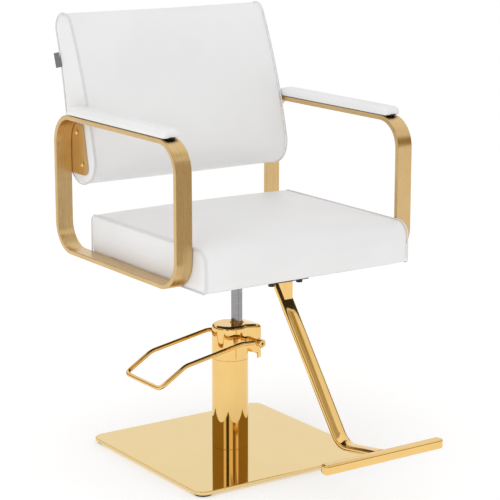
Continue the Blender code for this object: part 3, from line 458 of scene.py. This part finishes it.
SLOT_FINISH = {
    "polished_gold": GOLD,
    "brushed_gold": BRUSHED,
    "chrome": CHROME,
    "dark_steel": BLACK,
    "bright_steel": STEEL,
    "rubber": RUBBER,
    "black_plastic": PLASTIC,
    "white_vinyl": VINYL,
    "grey_fabric": WOVEN,
    "plywood": PLY,
}
NODE_SLOT = {part["node"]: part["material_slot"] for part in frame["record"]["subparts"]}
NODE_BODY = {node: body for body, members in frame["record"]["behaviour"]["bodies"].items()
             for node in members}


# ---------------------------------------------------------------- modelling helpers

def work_on(piece):
    """Make one piece the only selected and active object."""
    if bpy.context.object and bpy.context.object.mode != "OBJECT":
        bpy.ops.object.mode_set(mode="OBJECT")
    bpy.ops.object.select_all(action="DESELECT")
    bpy.context.view_layer.objects.active = piece
    piece.select_set(True)


def new_piece(name):
    """Name the primitive that was just added and put its place into its mesh."""
    piece = bpy.context.object
    piece.name = name
    piece.data.name = name
    bpy.ops.object.transform_apply(location=True, rotation=True, scale=True)
    return piece


def block(name, low, high):
    bpy.ops.object.select_all(action="DESELECT")
    bpy.ops.mesh.primitive_cube_add(size=1.0, location=(Vector(low) + Vector(high)) / 2)
    bpy.context.object.scale = Vector(high) - Vector(low)
    return new_piece(name)


def round_bar(name, radius, low, high, sides=64, ends="NGON"):
    """A cylinder between two points on its axis."""
    low, high = Vector(low), Vector(high)
    turn = Vector((0, 0, 1)).rotation_difference(high - low).to_euler()
    bpy.ops.object.select_all(action="DESELECT")
    bpy.ops.mesh.primitive_cylinder_add(vertices=sides, radius=radius, depth=(high - low).length,
                                        location=(low + high) / 2, rotation=turn,
                                        end_fill_type=ends)
    return new_piece(name)


def edit(piece, mode):
    """Enter edit mode with nothing selected."""
    work_on(piece)
    bpy.ops.object.mode_set(mode="EDIT")
    bpy.ops.mesh.select_mode(type=mode)
    bpy.ops.mesh.select_all(action="DESELECT")
    bpy.ops.object.mode_set(mode="OBJECT")


def select_edges(piece, test):
    """Select the edges for which test(start, end) holds, and stay in edit mode."""
    edit(piece, "EDGE")
    places = [v.co.copy() for v in piece.data.vertices]
    for edge in piece.data.edges:
        edge.select = test(places[edge.vertices[0]], places[edge.vertices[1]])
    bpy.ops.object.mode_set(mode="EDIT")


def select_faces(piece, test):
    """Select the faces for which test(centre, normal) holds, and stay in edit mode."""
    edit(piece, "FACE")
    for face in piece.data.polygons:
        face.select = test(face.center, face.normal)
    bpy.ops.object.mode_set(mode="EDIT")


def bevel_selected(width, segments):
    """Round the selected edges and leave edit mode."""
    bpy.ops.mesh.bevel(offset=width, segments=segments, affect="EDGES")
    bpy.ops.object.mode_set(mode="OBJECT")


def round_uprights(piece, radius, segments, shortest=0.001):
    """Round the edges that run up and down."""
    select_edges(piece, lambda a, b: abs(a.z - b.z) > shortest)
    bevel_selected(radius, segments)


def apply_all(piece):
    work_on(piece)
    for step in list(piece.modifiers):
        bpy.ops.object.modifier_apply(modifier=step.name)


def soft_edges(piece, width, segments=3, limit=50):
    step = piece.modifiers.new("edge", "BEVEL")
    step.width = width
    step.segments = segments
    step.limit_method = "ANGLE"
    step.angle_limit = radians(limit)
    apply_all(piece)


def thicken(piece, wall):
    """Give an open shell a wall, inwards from its surface."""
    step = piece.modifiers.new("wall", "SOLIDIFY")
    step.thickness = wall
    step.offset = -1.0
    apply_all(piece)


def subdivide(piece, levels=1):
    step = piece.modifiers.new("fine", "SUBSURF")
    step.levels = levels
    step.render_levels = levels
    apply_all(piece)


def shade(piece, angle=35, flat_sides=True):
    """Smooth the round faces, and let large flat faces keep their own direction."""
    work_on(piece)
    bpy.ops.object.shade_smooth_by_angle(angle=radians(angle))
    if flat_sides:
        step = piece.modifiers.new("flat sides", "WEIGHTED_NORMAL")
        step.keep_sharp = True
        step.weight = 80
        apply_all(piece)


def place(piece, nodes, surface=None, slot=None, angle=35, flat_sides=True):
    """Give a finished piece its finish and smooth shading, and hang it on the body of the first CAD
    node that it stands for.
    """
    nodes = [nodes] if isinstance(nodes, str) else list(nodes)
    slot = slot or NODE_SLOT[nodes[0]]
    piece.data.materials.clear()
    piece.data.materials.append(surface or SLOT_FINISH[slot])
    shade(piece, angle, flat_sides)
    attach(piece, NODE_BODY[nodes[0]])
    return piece


def stand_for(piece, nodes, surface=None, slot=None, angle=35, flat_sides=True):
    nodes = [nodes] if isinstance(nodes, str) else list(nodes)
    place(piece, nodes, surface, slot, angle, flat_sides)
    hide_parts(*nodes)
    return piece


def copied(node, name, edge=0.0, fine=0, flat=1.0, angle=35, swell=0.0):
    """A copy of a CAD node with its triangles joined, for a finer edge or a smoother skin."""
    source = NODES[node]
    piece = source.copy()
    piece.data = source.data.copy()
    piece.name = name
    piece.data.name = name
    piece.parent = None
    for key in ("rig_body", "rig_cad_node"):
        del piece[key]
    bpy.context.scene.collection.objects.link(piece)
    work_on(piece)
    if piece.data.has_custom_normals:
        bpy.ops.mesh.customdata_custom_splitnormals_clear()
    bpy.ops.object.mode_set(mode="EDIT")
    bpy.ops.mesh.select_all(action="SELECT")
    bpy.ops.mesh.remove_doubles(threshold=0.00002)
    if flat:
        bpy.ops.mesh.dissolve_limited(angle_limit=radians(flat))
    else:
        bpy.ops.mesh.tris_convert_to_quads(face_threshold=radians(60), shape_threshold=radians(60))
    bpy.ops.object.mode_set(mode="OBJECT")
    if edge:
        soft_edges(piece, edge)
    if fine:
        subdivide(piece, fine)
    if swell:
        step = piece.modifiers.new("swell", "DISPLACE")
        step.strength = swell
        step.mid_level = 0.0
        apply_all(piece)
    return stand_for(piece, node, angle=angle)


def keep_node(node):
    """A CAD node that shows as it is, with the better finish."""
    mesh = NODES[node].data
    mesh.materials.clear()
    mesh.materials.append(SLOT_FINISH[NODE_SLOT[node]])


# ---------------------------------------------------------------- outlines

def arc(centre, radius, start, end, steps):
    turns = [start + (end - start) * i / steps for i in range(steps + 1)]
    return [Vector((centre[0] + radius * cos(t), centre[1] + radius * sin(t))) for t in turns]


def spaced(outline, pitch):
    """Points at an even pitch along a closed outline."""
    ring = [Vector(p) for p in outline] + [Vector(outline[0])]
    lengths = [(b - a).length for a, b in zip(ring, ring[1:])]
    total = sum(lengths)
    count = round(total / pitch)
    points = []
    walked, piece = 0.0, 0
    for i in range(count):
        target = total * i / count
        while walked + lengths[piece] < target:
            walked += lengths[piece]
            piece += 1
        points.append(ring[piece].lerp(ring[piece + 1], (target - walked) / lengths[piece]))
    return points


def outward(points):
    """Outward directions of a closed outline at each of its points."""
    area = sum(a.x * b.y - b.x * a.y for a, b in zip(points, points[1:] + points[:1]))
    sign = 1 if area > 0 else -1
    found = []
    for i, point in enumerate(points):
        along = (points[(i + 1) % len(points)] - points[i - 1]).normalized()
        found.append(Vector((along.y, -along.x)) * sign)
    return found


def mesh_piece(name, made):
    bmesh.ops.recalc_face_normals(made, faces=made.faces)
    mesh = bpy.data.meshes.new(name)
    made.to_mesh(mesh)
    made.free()
    piece = bpy.data.objects.new(name, mesh)
    bpy.context.scene.collection.objects.link(piece)
    return piece


def skin(rings, closed=False):
    """A bmesh through a row of equal rings, with a face at each end unless it is closed."""
    made = bmesh.new()
    rows = [[made.verts.new(p) for p in ring] for ring in rings]
    pairs = list(zip(rows, rows[1:]))
    if closed:
        pairs.append((rows[-1], rows[0]))
    for a, b in pairs:
        for i in range(len(a)):
            j = (i + 1) % len(a)
            made.faces.new((a[i], a[j], b[j], b[i]))
    if not closed:
        made.faces.new(rows[0])
        made.faces.new(rows[-1])
    return made


# ---------------------------------------------------------------- base and pump

def plate():
    low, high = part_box("base_plate")
    piece = block("square_plate", low, high)
    round_uprights(piece, PLATE_CORNER, 16)
    soft_edges(piece, PLATE_EDGE, 4)
    stand_for(piece, "base_plate", PLATE_GOLD_LIT, angle=30)


def pads():
    for i in range(1, 5):
        copied(f"foot_pad_{i}", f"rubber_pad_{i}", edge=TURNED_EDGE)


def column():
    low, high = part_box("pump_tube")
    radius = (high.x - low.x) / 2
    piece = round_bar("column_tube", radius, (0, 0, low.z), (0, 0, high.z), 128, "NOTHING")
    thicken(piece, TUBE_WALL)
    soft_edges(piece, SMALL_EDGE, 2)
    stand_for(piece, "pump_tube")


def cap():
    copied("pump_cap", "pump_hood", flat=0.5, angle=38)
    low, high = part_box("rod_gland")
    centre = (low + high) / 2
    radius = (high.x - low.x) / 2
    rod_low, rod_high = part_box("piston_rod")
    rod_r = (rod_high.x - rod_low.x) / 2
    shoulder, top = (centre.x, 0, high.z - GLAND_HEIGHT), (centre.x, 0, high.z)
    piece = round_bar("gland_ring", radius, shoulder, top, 96, "NOTHING")
    thicken(piece, radius - rod_r - GAP)
    soft_edges(piece, STEEL_EDGE, 3)
    stand_for(piece, "rod_gland")
    piece = round_bar("lift_rod", rod_r, (centre.x, 0, rod_low.z), (centre.x, 0, rod_high.z), 96)
    soft_edges(piece, TURNED_EDGE, 3)
    stand_for(piece, "piston_rod")


def paint_socket_shade(pin, low, high):
    """Painted shade: black paint on the faces inside the socket at the pin's outer end, where the
    hole lies in shade.
    """
    axis = (low + high) / 2
    tip = max(abs(low.y), abs(high.y)) - PIN_TIP
    pin.data.materials.append(BLACK)
    for face in pin.data.polygons:
        away = Vector((face.center.x - axis.x, face.center.z - axis.z)).length
        if away < PIN_SOCKET_R and PIN_INNER < abs(face.center.y) < tip:
            face.material_index = 1


def pedal():
    copied("pedal_lever", "pedal_bar", fine=1, flat=0.0, angle=60, swell=LEVER_SWELL)
    for end in ("front", "rear"):
        copied(f"pedal_boss_{end}", f"pedal_eye_{end}", edge=SHEET_EDGE)
        pin = copied(f"pedal_shaft_{end}", f"pedal_pin_{end}", edge=SMALL_EDGE)
        paint_socket_shade(pin, *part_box(f"pedal_shaft_{end}"))


def spring():
    """The return spring: a joined copy of its CAD node, on a mesh of its own."""
    piece = copied("plunger_spring", "return_spring", flat=0.0, angle=60)
    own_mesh(piece)


# ---------------------------------------------------------------- arms

def hoop(side):
    low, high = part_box(f"arm_loop_{side}")
    piece = block(f"arm_hoop_{side}", low, high)
    select_edges(piece, lambda a, b: abs(a.x - b.x) > 0.01)
    bevel_selected(ARM_CORNER, 24)
    select_faces(piece, lambda centre, normal: abs(normal.x) > 0.9)
    bpy.ops.mesh.inset(thickness=ARM_THICK, depth=0.0)
    bpy.ops.mesh.bridge_edge_loops()
    bpy.ops.mesh.select_all(action="SELECT")
    bpy.ops.mesh.normals_make_consistent(inside=False)
    bpy.ops.object.mode_set(mode="OBJECT")
    soft_edges(piece, ARM_EDGE, 3, 60)
    stand_for(piece, f"arm_loop_{side}", angle=32)


def brackets(side):
    copied(f"back_bracket_{side}", f"back_plate_{side}", edge=SHEET_EDGE)
    for i in (1, 2):
        copied(f"back_bolt_{side}_{i}", f"dome_bolt_{side}_{i}", edge=TINY_EDGE, angle=50)


def strips(side):
    low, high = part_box(f"arm_strip_{side}")
    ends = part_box(f"arm_pad_{side}")
    front, back = ends[0].y + STRIP_END_INSET, ends[1].y - STRIP_END_INSET
    piece = block(f"pad_strip_{side}", (low.x + STRIP_SIDE_INSET, front, low.z),
                  (high.x - STRIP_SIDE_INSET, back, high.z))
    round_uprights(piece, STRIP_CORNER, 5)
    soft_edges(piece, SMALL_EDGE, 2)
    stand_for(piece, f"arm_strip_{side}")


# ---------------------------------------------------------------- upholstery

def seat_outline(crown, shrink=0.0):
    """Side outline (y, z) of the seat for a given rise of its top."""
    low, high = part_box("seat_cushion")
    front, back, bottom = low.y + shrink, high.y - shrink, low.z + shrink
    top = SEAT_EDGE_TOP - shrink
    points = arc((front + SEAT_BOTTOM_R, bottom + SEAT_BOTTOM_R), SEAT_BOTTOM_R, 1.5 * pi, pi, 4)
    points += arc((front + SEAT_FRONT_R, top - SEAT_FRONT_R), SEAT_FRONT_R, pi, pi / 2, 12)
    start, end = front + SEAT_FRONT_R, back - SEAT_BACK_R
    for i in range(1, 24):
        share = i / 24
        rise = crown * sin(pi * share) ** 0.7
        points.append(Vector((start + (end - start) * share, top + rise)))
    points += arc((back - SEAT_BACK_R, top - SEAT_BACK_R), SEAT_BACK_R, pi / 2, 0, 8)
    points += arc((back - SEAT_BOTTOM_R, bottom + SEAT_BOTTOM_R), SEAT_BOTTOM_R, 0, -pi / 2, 4)
    return points


def back_line(share):
    """Point, forward direction and half thickness at a share of the backrest's centre line."""
    along = (BACK_HEAD - BACK_FOOT).normalized()
    ahead = Vector((-along.y, along.x))
    slope = 4 * BACK_BOW * (1 - 2 * share) / (BACK_HEAD - BACK_FOOT).length
    point = BACK_FOOT.lerp(BACK_HEAD, share) + ahead * 4 * BACK_BOW * share * (1 - share)
    tangent = (along + ahead * slope).normalized()
    radius = BACK_FOOT_R + (BACK_HEAD_R - BACK_FOOT_R) * share
    return point, Vector((-tangent.y, tangent.x)), radius


def back_outline(shrink=0.0):
    """Side outline (y, z) of the backrest: two faces joined by round ends."""
    front, rear = [], []
    for i in range(25):
        point, ahead, radius = back_line(i / 24)
        front.append(point + ahead * (radius - shrink))
        rear.append(point - ahead * (radius - shrink))
    ends = []
    for share in (1.0, 0.0):
        point, ahead, radius = back_line(share)
        start = atan2(ahead.y, ahead.x) if share else atan2(-ahead.y, -ahead.x)
        ends.append(arc(point, radius - shrink, start, start - pi, 20)[1:-1])
    return front + ends[0] + rear[::-1] + ends[1]


def cushion_body(name, outline_at, low_x, high_x, count=16):
    """Closed form of a cushion along X. outline_at(share) is its side outline, share -1..1."""
    rings = []
    for i in range(count + 1):
        share = -1 + 2 * i / count
        x = (low_x + high_x) / 2 + (high_x - low_x) / 2 * share
        rings.append([(x, p.x, p.y) for p in outline_at(share)])
    return mesh_piece(name, skin(rings))


def coordinates(piece):
    found = np.zeros(len(piece.data.vertices) * 3, np.float32)
    piece.data.vertices.foreach_get("co", found)
    return found.reshape(-1, 3).astype(float)


def near_outline(points, outline, reach):
    """Which (y, z) points lie within reach of a closed outline."""
    ring = np.array([tuple(p) for p in spaced(outline, 0.002)])
    found = np.zeros(len(points), bool)
    for start in range(0, len(points), 4000):
        part = points[start:start + 4000]
        away = ((part[:, None, :] - ring[None, :, :]) ** 2).sum(2).min(1)
        found[start:start + 4000] = away < reach ** 2
    return found


def side_seam(points, outline, low_x, high_x):
    """Which points lie on the seams between the side panels and the wrapped panel."""
    edge = near_outline(points[:, 1:], outline, SEWN_REACH)
    side = np.minimum(points[:, 0] - low_x, high_x - points[:, 0]) < SEWN_SIDE
    return edge & side


def even_side_room(points):
    return np.full(len(points), SIDE_SWELL)


def fill_with_foam(piece, voxel, sewn, cap, side_room):
    """Swell a closed form under inner pressure, held at its sewn seams."""
    skin_step = piece.modifiers.new("skin", "REMESH")
    skin_step.mode = "VOXEL"
    skin_step.voxel_size = voxel
    apply_all(piece)
    rest = coordinates(piece)
    held = sewn(rest)
    moved = rest
    group = piece.vertex_groups.new(name="sewn")
    group.add([int(i) for i in np.nonzero(held)[0]], 1.0, "REPLACE")
    cloth = piece.modifiers.new("foam", "CLOTH")
    cloth.settings.use_pressure = True
    cloth.settings.uniform_pressure_force = FOAM_PRESSURE
    cloth.settings.effector_weights.gravity = 0.0
    cloth.settings.vertex_group_mass = "sewn"
    cloth.settings.quality = 4
    for step in range(1, FOAM_STEPS + 1):
        bpy.context.scene.frame_set(step)
    apply_all(piece)
    bpy.context.scene.frame_set(1)
    moved = coordinates(piece)
    shift = moved - rest
    length = np.linalg.norm(shift, axis=1, keepdims=True)
    shift *= np.minimum(1.0, cap / np.maximum(length, 1e-9))
    room = side_room(rest)
    shift[:, 0] = np.clip(shift[:, 0], -room, room)
    piece.data.vertices.foreach_set("co", (rest + shift).astype(np.float32).ravel())
    piece.data.update()
    piece.vertex_groups.clear()
    smooth = piece.modifiers.new("relax", "SMOOTH")
    smooth.factor = 0.5
    smooth.iterations = 4
    subdivide(piece, 1)
    return piece


def surface_of(piece):
    bpy.context.view_layer.update()
    return BVHTree.FromObject(piece, bpy.context.evaluated_depsgraph_get())


def seam_cord(name, outline, x, inward, body_node, radius=PIPING_R):
    """Piping sewn into the edge between a side panel and the wrapped panel."""
    points = spaced(outline, PIPING_PITCH)
    rings = []
    for point, out in zip(points, outward(points)):
        sunk = point - out * radius * PIPING_SINK
        centre = Vector((x + inward * radius * PIPING_INWARD, *sunk))
        away = Vector((0, *out))
        rings.append([centre + (Vector((1, 0, 0)) * cos(t) + away * sin(t)) * radius
                      for t in (tau * i / PIPING_SIDES for i in range(PIPING_SIDES))])
    piece = mesh_piece(name, skin(rings, closed=True))
    place(piece, body_node, SHADED_PIPING, "white_vinyl", 60, False)


def stitches(name, cushion, lines, body_node):
    """A row of short stitches on the cushion's skin for each list of start and end points."""
    tree = surface_of(cushion)
    made = bmesh.new()
    for start, end in lines:
        first, normal, _, _ = tree.find_nearest(start)
        last, _, _, _ = tree.find_nearest(end)
        along = (last - first).normalized()
        across = along.cross(normal).normalized()
        up = across.cross(along).normalized() * STITCH_R
        across *= STITCH_R
        rings = []
        for share, size, lift in STITCH_RINGS:
            centre = first.lerp(last, share) + up * lift
            rings.append([centre + (across * cos(t) + up * sin(t)) * size
                          for t in (tau * i / STITCH_SIDES for i in range(STITCH_SIDES))])
        rows = [[made.verts.new(p) for p in ring] for ring in rings]
        for a, b in zip(rows, rows[1:]):
            for i in range(STITCH_SIDES):
                j = (i + 1) % STITCH_SIDES
                made.faces.new((a[i], a[j], b[j], b[i]))
        made.faces.new(rows[0][::-1])
        made.faces.new(rows[-1])
    piece = mesh_piece(name, made)
    place(piece, body_node, THREAD, "white_vinyl", 60, False)


def stitch_row(outline, x):
    """Start and end points of the stitches that follow an outline in a plane across X."""
    points = spaced(outline, STITCH_PITCH)
    ahead = STITCH_LENGTH / STITCH_PITCH
    return [(Vector((x, *a)), Vector((x, *a.lerp(b, ahead))))
            for a, b in zip(points, points[1:] + points[:1])]


def seat_cushion():
    low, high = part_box("seat_cushion")

    def outline_at(share):
        return seat_outline(SEAT_CROWN * max(0.0, 1 - share ** 4), CUSHION_SHRINK)

    def sewn(points):
        stapled = points[:, 2] < low.z + STAPLED_RISE
        return side_seam(points, outline_at(1.0), low.x, high.x) | stapled

    piece = cushion_body("seat_pad", outline_at, low.x + SEAT_SIDE_GAP, high.x - SEAT_SIDE_GAP)
    fill_with_foam(piece, CUSHION_SKIN, sewn, SEAT_SWELL, even_side_room)
    stand_for(piece, "seat_cushion", VINYL, angle=60, flat_sides=False)
    edge = outline_at(1.0)
    for side, x, inward in (("left", high.x, -1), ("right", low.x, 1)):
        seam_cord(f"seat_piping_{side}", edge, x, inward, "seat_cushion")
        inner = seat_outline(0.0, -STITCH_LINE_RISE)
        stitches(f"seat_stitches_{side}", piece, stitch_row(inner, x + inward * SEAM_INSET),
                 "seat_cushion")


def back_cushion():
    low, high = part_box("backrest_cushion")
    free_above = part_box("arm_loop_left")[1].z + BACK_FREE_START
    outline = back_outline(CUSHION_SHRINK)

    def sewn(points):
        return side_seam(points, outline, low.x, high.x)

    def side_room(points):
        """Little room between the arm loops, more above them."""
        tight, free = BACK_SIDE_SWELL
        rise = np.clip((points[:, 2] - free_above) / BACK_FREE_RISE, 0.0, 1.0)
        return tight + (free - tight) * rise * rise * (3 - 2 * rise)

    piece = cushion_body("back_pad", lambda share: outline, low.x + BACK_SIDE_GAP,
                         high.x - BACK_SIDE_GAP, 8)
    fill_with_foam(piece, CUSHION_SKIN, sewn, BACK_SWELL, side_room)
    stand_for(piece, "backrest_cushion", VINYL, angle=60, flat_sides=False)
    for side, x, inward in (("left", high.x, -1), ("right", low.x, 1)):
        seam_cord(f"back_piping_{side}", back_outline(), x, inward, "backrest_cushion")
        stitches(f"back_stitches_{side}", piece, stitch_row(back_outline(), x + inward * SEAM_INSET),
                 "backrest_cushion")


def arm_cushion(side):
    """Small pad with a rounded top, upholstered in the same vinyl."""
    low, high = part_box(f"arm_pad_{side}")
    low.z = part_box(f"arm_strip_{side}")[0].z + ARMPAD_SKIRT
    near = 0.0001
    piece = block(f"arm_rest_{side}", low, high)
    select_edges(piece, lambda a, b: max(a.z, b.z) < low.z + near and abs(a.y - b.y) < near)
    bevel_selected(ARMPAD_LOW_R, 3)
    round_uprights(piece, ARMPAD_CORNER, 6, shortest=0.004)
    select_edges(piece, lambda a, b: min(a.z, b.z) > high.z - near)
    bevel_selected(ARMPAD_TOP_R, 6)

    def glued(points):
        return points[:, 2] < low.z + ARMPAD_GLUED_RISE

    fill_with_foam(piece, ARMPAD_SKIN, glued, ARMPAD_SWELL, even_side_room)
    stand_for(piece, f"arm_pad_{side}", VINYL, angle=60, flat_sides=False)


def label():
    """Folded woven label in the rear seam."""
    copied("back_tag", "seam_label", edge=TINY_EDGE)


def dust_cover():
    """Black cloth stapled over the seat's underside."""
    low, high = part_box("seat_cushion")
    piece = block("dust_cover", (low.x + DUST_INSET, low.y + DUST_INSET, low.z - DUST_BELOW),
                  (high.x - DUST_INSET, high.y - DUST_INSET, low.z + DUST_ABOVE))
    round_uprights(piece, DUST_CORNER, 5)
    soft_edges(piece, SMALL_EDGE, 2)
    place(piece, "seat_board", DUST, "grey_fabric")


# ---------------------------------------------------------------- footrest and seat frame

def leg_section(count=56):
    """Outline (across, out) of the leg's flat oval tube, fuller than an ellipse."""
    power = 2 / LEG_FULLNESS
    points = []
    for i in range(count):
        turn = tau * i / count
        u, v = (copysign(abs(part) ** power, part) for part in (cos(turn), sin(turn)))
        points.append((LEG_WIDTH / 2 * u, LEG_DEPTH / 2 * v))
    return points


def leg_line():
    """Centre line (y, z) of the leg: straight down, an arc, and straight into the tread."""
    top_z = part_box("footrest_post")[1].z
    end_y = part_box("footrest_bar")[1].y + GAP
    down = Vector((-sin(LEG_LEAN), -cos(LEG_LEAN)))
    on = Vector((-cos(LEG_RISE), sin(LEG_RISE)))
    passing, end = Vector(LEG_PASS), Vector((end_y, LEG_END_Z))
    top = passing - down * ((top_z - passing.y) / cos(LEG_LEAN))
    lean, rise = tan(LEG_LEAN), tan(LEG_RISE)
    drop = (passing.y - end.y + rise * (passing.x - end.x)) / (1 + rise * lean)
    corner = Vector((passing.x - drop * lean, passing.y - drop))
    half = down.angle(on) / 2
    reach = LEG_BEND_R * tan(half)
    first, last = corner - down * reach, corner + on * reach
    points = [top]
    for i in range(25):
        share = i / 24
        points.append(first.lerp(corner, share).lerp(corner.lerp(last, share), share))
    return points + [end]


def leg():
    x = sum(corner.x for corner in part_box("footrest_post")) / 2
    line = leg_line()
    section = leg_section()
    rings = []
    for i, point in enumerate(line):
        along = (line[min(i + 1, len(line) - 1)] - line[max(i - 1, 0)]).normalized()
        out = Vector((along.y, -along.x))
        if i == 0:
            out = Vector((-1 / cos(LEG_LEAN), 0))
        rings.append([(x + u, *(point + out * v)) for u, v in section])
    stand_for(mesh_piece("footrest_leg", skin(rings)), "footrest_post", angle=40, flat_sides=False)


def tread():
    low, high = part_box("footrest_bar")
    piece = block("footrest_tread", low, high)
    round_uprights(piece, TREAD_END_R, 8)
    soft_edges(piece, TREAD_EDGE, 5)
    stand_for(piece, "footrest_bar", angle=45)


def footrest():
    leg()
    copied("footrest_gusset", "footrest_wedge", edge=STEEL_EDGE)
    tread()
    copied("footrest_channel", "footrest_bracket", edge=STEEL_EDGE)
    for side in ("left", "right"):
        copied(f"footrest_bolt_{side}", f"footrest_nut_{side}", edge=SMALL_EDGE)


def seat_frame():
    copied("seat_mount_plate", "mount_plate", edge=STEEL_EDGE)
    copied("swivel_hub", "swivel_socket", edge=TURNED_EDGE)
    for i in range(1, 5):
        copied(f"mount_bolt_{i}", f"mount_screw_{i}", edge=SMALL_EDGE)
        copied(f"pump_bolt_{i}", f"foot_screw_{i}", edge=TINY_EDGE)


# ---------------------------------------------------------------- studio

def studio_world():
    """White backdrop for the camera; for the metal, a bright room with dark low panels."""
    world = bpy.data.worlds.new("studio")
    bpy.context.scene.world = world
    world.use_nodes = True
    tree = world.node_tree
    tree.nodes.clear()
    view = tree.nodes.new("ShaderNodeTexCoord")

    def along(direction):
        made = tree.nodes.new("ShaderNodeVectorMath")
        made.operation = "DOT_PRODUCT"
        made.inputs[1].default_value = direction
        tree.links.new(view.outputs["Generated"], made.inputs[0])
        return made.outputs["Value"]

    turn = tree.nodes.new("ShaderNodeMath")
    turn.operation = "ARCTAN2"
    tree.links.new(along(SCREEN_RIGHT), turn.inputs[0])
    tree.links.new(along(TOWARDS_CAMERA), turn.inputs[1])
    share = spread(tree, turn.outputs[0], 0.0, 1.0, -pi, pi)
    panels = stepped(tree, share, STUDIO_PANELS)
    height = spread(tree, along((0, 0, 1)), 0.0, 1.0, -1.0, 1.0)
    dome = stepped(tree, height, STUDIO_DOME)
    mask = stepped(tree, height, STUDIO_MASK)
    room = tree.nodes.new("ShaderNodeMix")
    room.data_type = "RGBA"
    tree.links.new(mask, room.inputs[0])
    tree.links.new(dome, room.inputs[6])
    tree.links.new(panels, room.inputs[7])
    ceiling = tree.nodes.new("ShaderNodeMath")
    ceiling.operation = "MULTIPLY"
    tree.links.new(stepped(tree, share, CEILING_TURN), ceiling.inputs[0])
    tree.links.new(stepped(tree, height, CEILING_RISE), ceiling.inputs[1])
    shaded = tree.nodes.new("ShaderNodeMix")
    shaded.data_type = "RGBA"
    shaded.inputs[7].default_value = (*CEILING_DARK, 1.0)
    tree.links.new(ceiling.outputs[0], shaded.inputs[0])
    tree.links.new(room.outputs[2], shaded.inputs[6])
    lit = tree.nodes.new("ShaderNodeBackground")
    lit.inputs["Strength"].default_value = STUDIO_STRENGTH
    tree.links.new(shaded.outputs[2], lit.inputs["Color"])
    path = tree.nodes.new("ShaderNodeLightPath")
    seen = lit.outputs[0]
    for ray, strength in (("Is Diffuse Ray", ROOM_FILL), ("Is Camera Ray", 1.0)):
        plain = tree.nodes.new("ShaderNodeBackground")
        plain.inputs["Color"].default_value = (1.0, 1.0, 1.0, 1.0)
        plain.inputs["Strength"].default_value = strength
        both = tree.nodes.new("ShaderNodeMixShader")
        tree.links.new(path.outputs[ray], both.inputs[0])
        tree.links.new(seen, both.inputs[1])
        tree.links.new(plain.outputs[0], both.inputs[2])
        seen = both.outputs[0]
    out = tree.nodes.new("ShaderNodeOutputWorld")
    tree.links.new(seen, out.inputs["Surface"])


def warmed(level):
    """Dark levels lean to the gold that the room around the chair throws back."""
    share = max(0.0, 1.0 - level)
    return [level * (1.0 + share * (tint - 1.0)) for tint in DARK_TINT]


def stepped(tree, value, stops):
    """A ramp through (position, level) stops."""
    made = tree.nodes.new("ShaderNodeValToRGB")
    ramp = made.color_ramp
    ramp.elements[0].position = stops[0][0]
    ramp.elements[1].position = stops[-1][0]
    for position, _ in stops[1:-1]:
        ramp.elements.new(position)
    for element, (_, level) in zip(ramp.elements, stops):
        element.color = (*warmed(level), 1.0)
    tree.links.new(value, made.inputs["Fac"])
    return made.outputs["Color"]


def soft_light(name, place_at, target, size, power):
    lamp = bpy.data.lights.new(name, "AREA")
    lamp.shape = "RECTANGLE"
    lamp.size, lamp.size_y = size
    lamp.energy = power
    made = bpy.data.objects.new(name, lamp)
    made.location = place_at
    made.rotation_euler = (Vector(target) - Vector(place_at)).to_track_quat("-Z", "Y").to_euler()
    made.visible_glossy = False
    bpy.context.scene.collection.objects.link(made)


def reflected_card(name, low, high):
    """A panel that only the metal's reflections see."""
    bpy.ops.object.select_all(action="DESELECT")
    bpy.ops.mesh.primitive_plane_add(size=1.0, rotation=(pi / 2, 0, 0),
                                     location=(Vector(low) + Vector(high)) / 2)
    card = bpy.context.object
    card.scale = (high[0] - low[0], high[2] - low[2], 1.0)
    card = new_piece(name)
    felt, _, _ = blank_material("grey_felt", 0.0, 1.0, CARD_COLOUR)
    card.data.materials.append(felt)
    card.visible_camera = False
    card.visible_diffuse = False
    card.visible_transmission = False
    card.visible_shadow = False


def studio():
    bpy.ops.object.select_all(action="DESELECT")
    bpy.ops.mesh.primitive_plane_add(size=FLOOR_SIDE)
    floor = new_piece("floor")
    pale, _, shader = blank_material("pale_floor", 0.0, 0.9, FLOOR_COLOUR)
    shader.inputs["Emission Color"].default_value = (1.0, 1.0, 1.0, 1.0)
    shader.inputs["Emission Strength"].default_value = FLOOR_GLOW
    floor.data.materials.append(pale)
    studio_world()
    soft_light("top_softbox", place_at=(-0.6, -0.6, 3.0), target=(0, 0, 0.5),
               size=(2.4, 2.4), power=7.0)
    soft_light("side_softbox", place_at=(-3.0, -1.6, 1.8), target=(0, 0, 0.6),
               size=(1.6, 2.0), power=12.0)
    reflected_card("left_card", CARD_LOW, CARD_HIGH)
    bpy.context.scene.view_settings.view_transform = "Standard"


def camera():
    lens = bpy.data.cameras.new("camera")
    lens.lens = CAMERA_LENS
    lens.sensor_width = 36.0
    lens.clip_end = 200.0
    made = bpy.data.objects.new("camera", lens)
    made.location = CAMERA_PLACE
    made.rotation_euler = CAMERA_TURN
    bpy.context.scene.collection.objects.link(made)
    bpy.context.scene.camera = made


# ---------------------------------------------------------------- the chair

plate()
pads()
column()
cap()
pedal()
spring()
for side in ("left", "right"):
    hoop(side)
    brackets(side)
    strips(side)
    arm_cushion(side)
seat_cushion()
back_cushion()
label()
dust_cover()
footrest()
seat_frame()
for node in ("pump_foot", "inner_cylinder", "plunger_barrel", "piston_head",
             "piston_seal", "pump_yoke", "pump_plunger", "seat_board", "backrest_board",
             "seat_rail_front", "seat_rail_back"):
    keep_node(node)
studio()
camera()
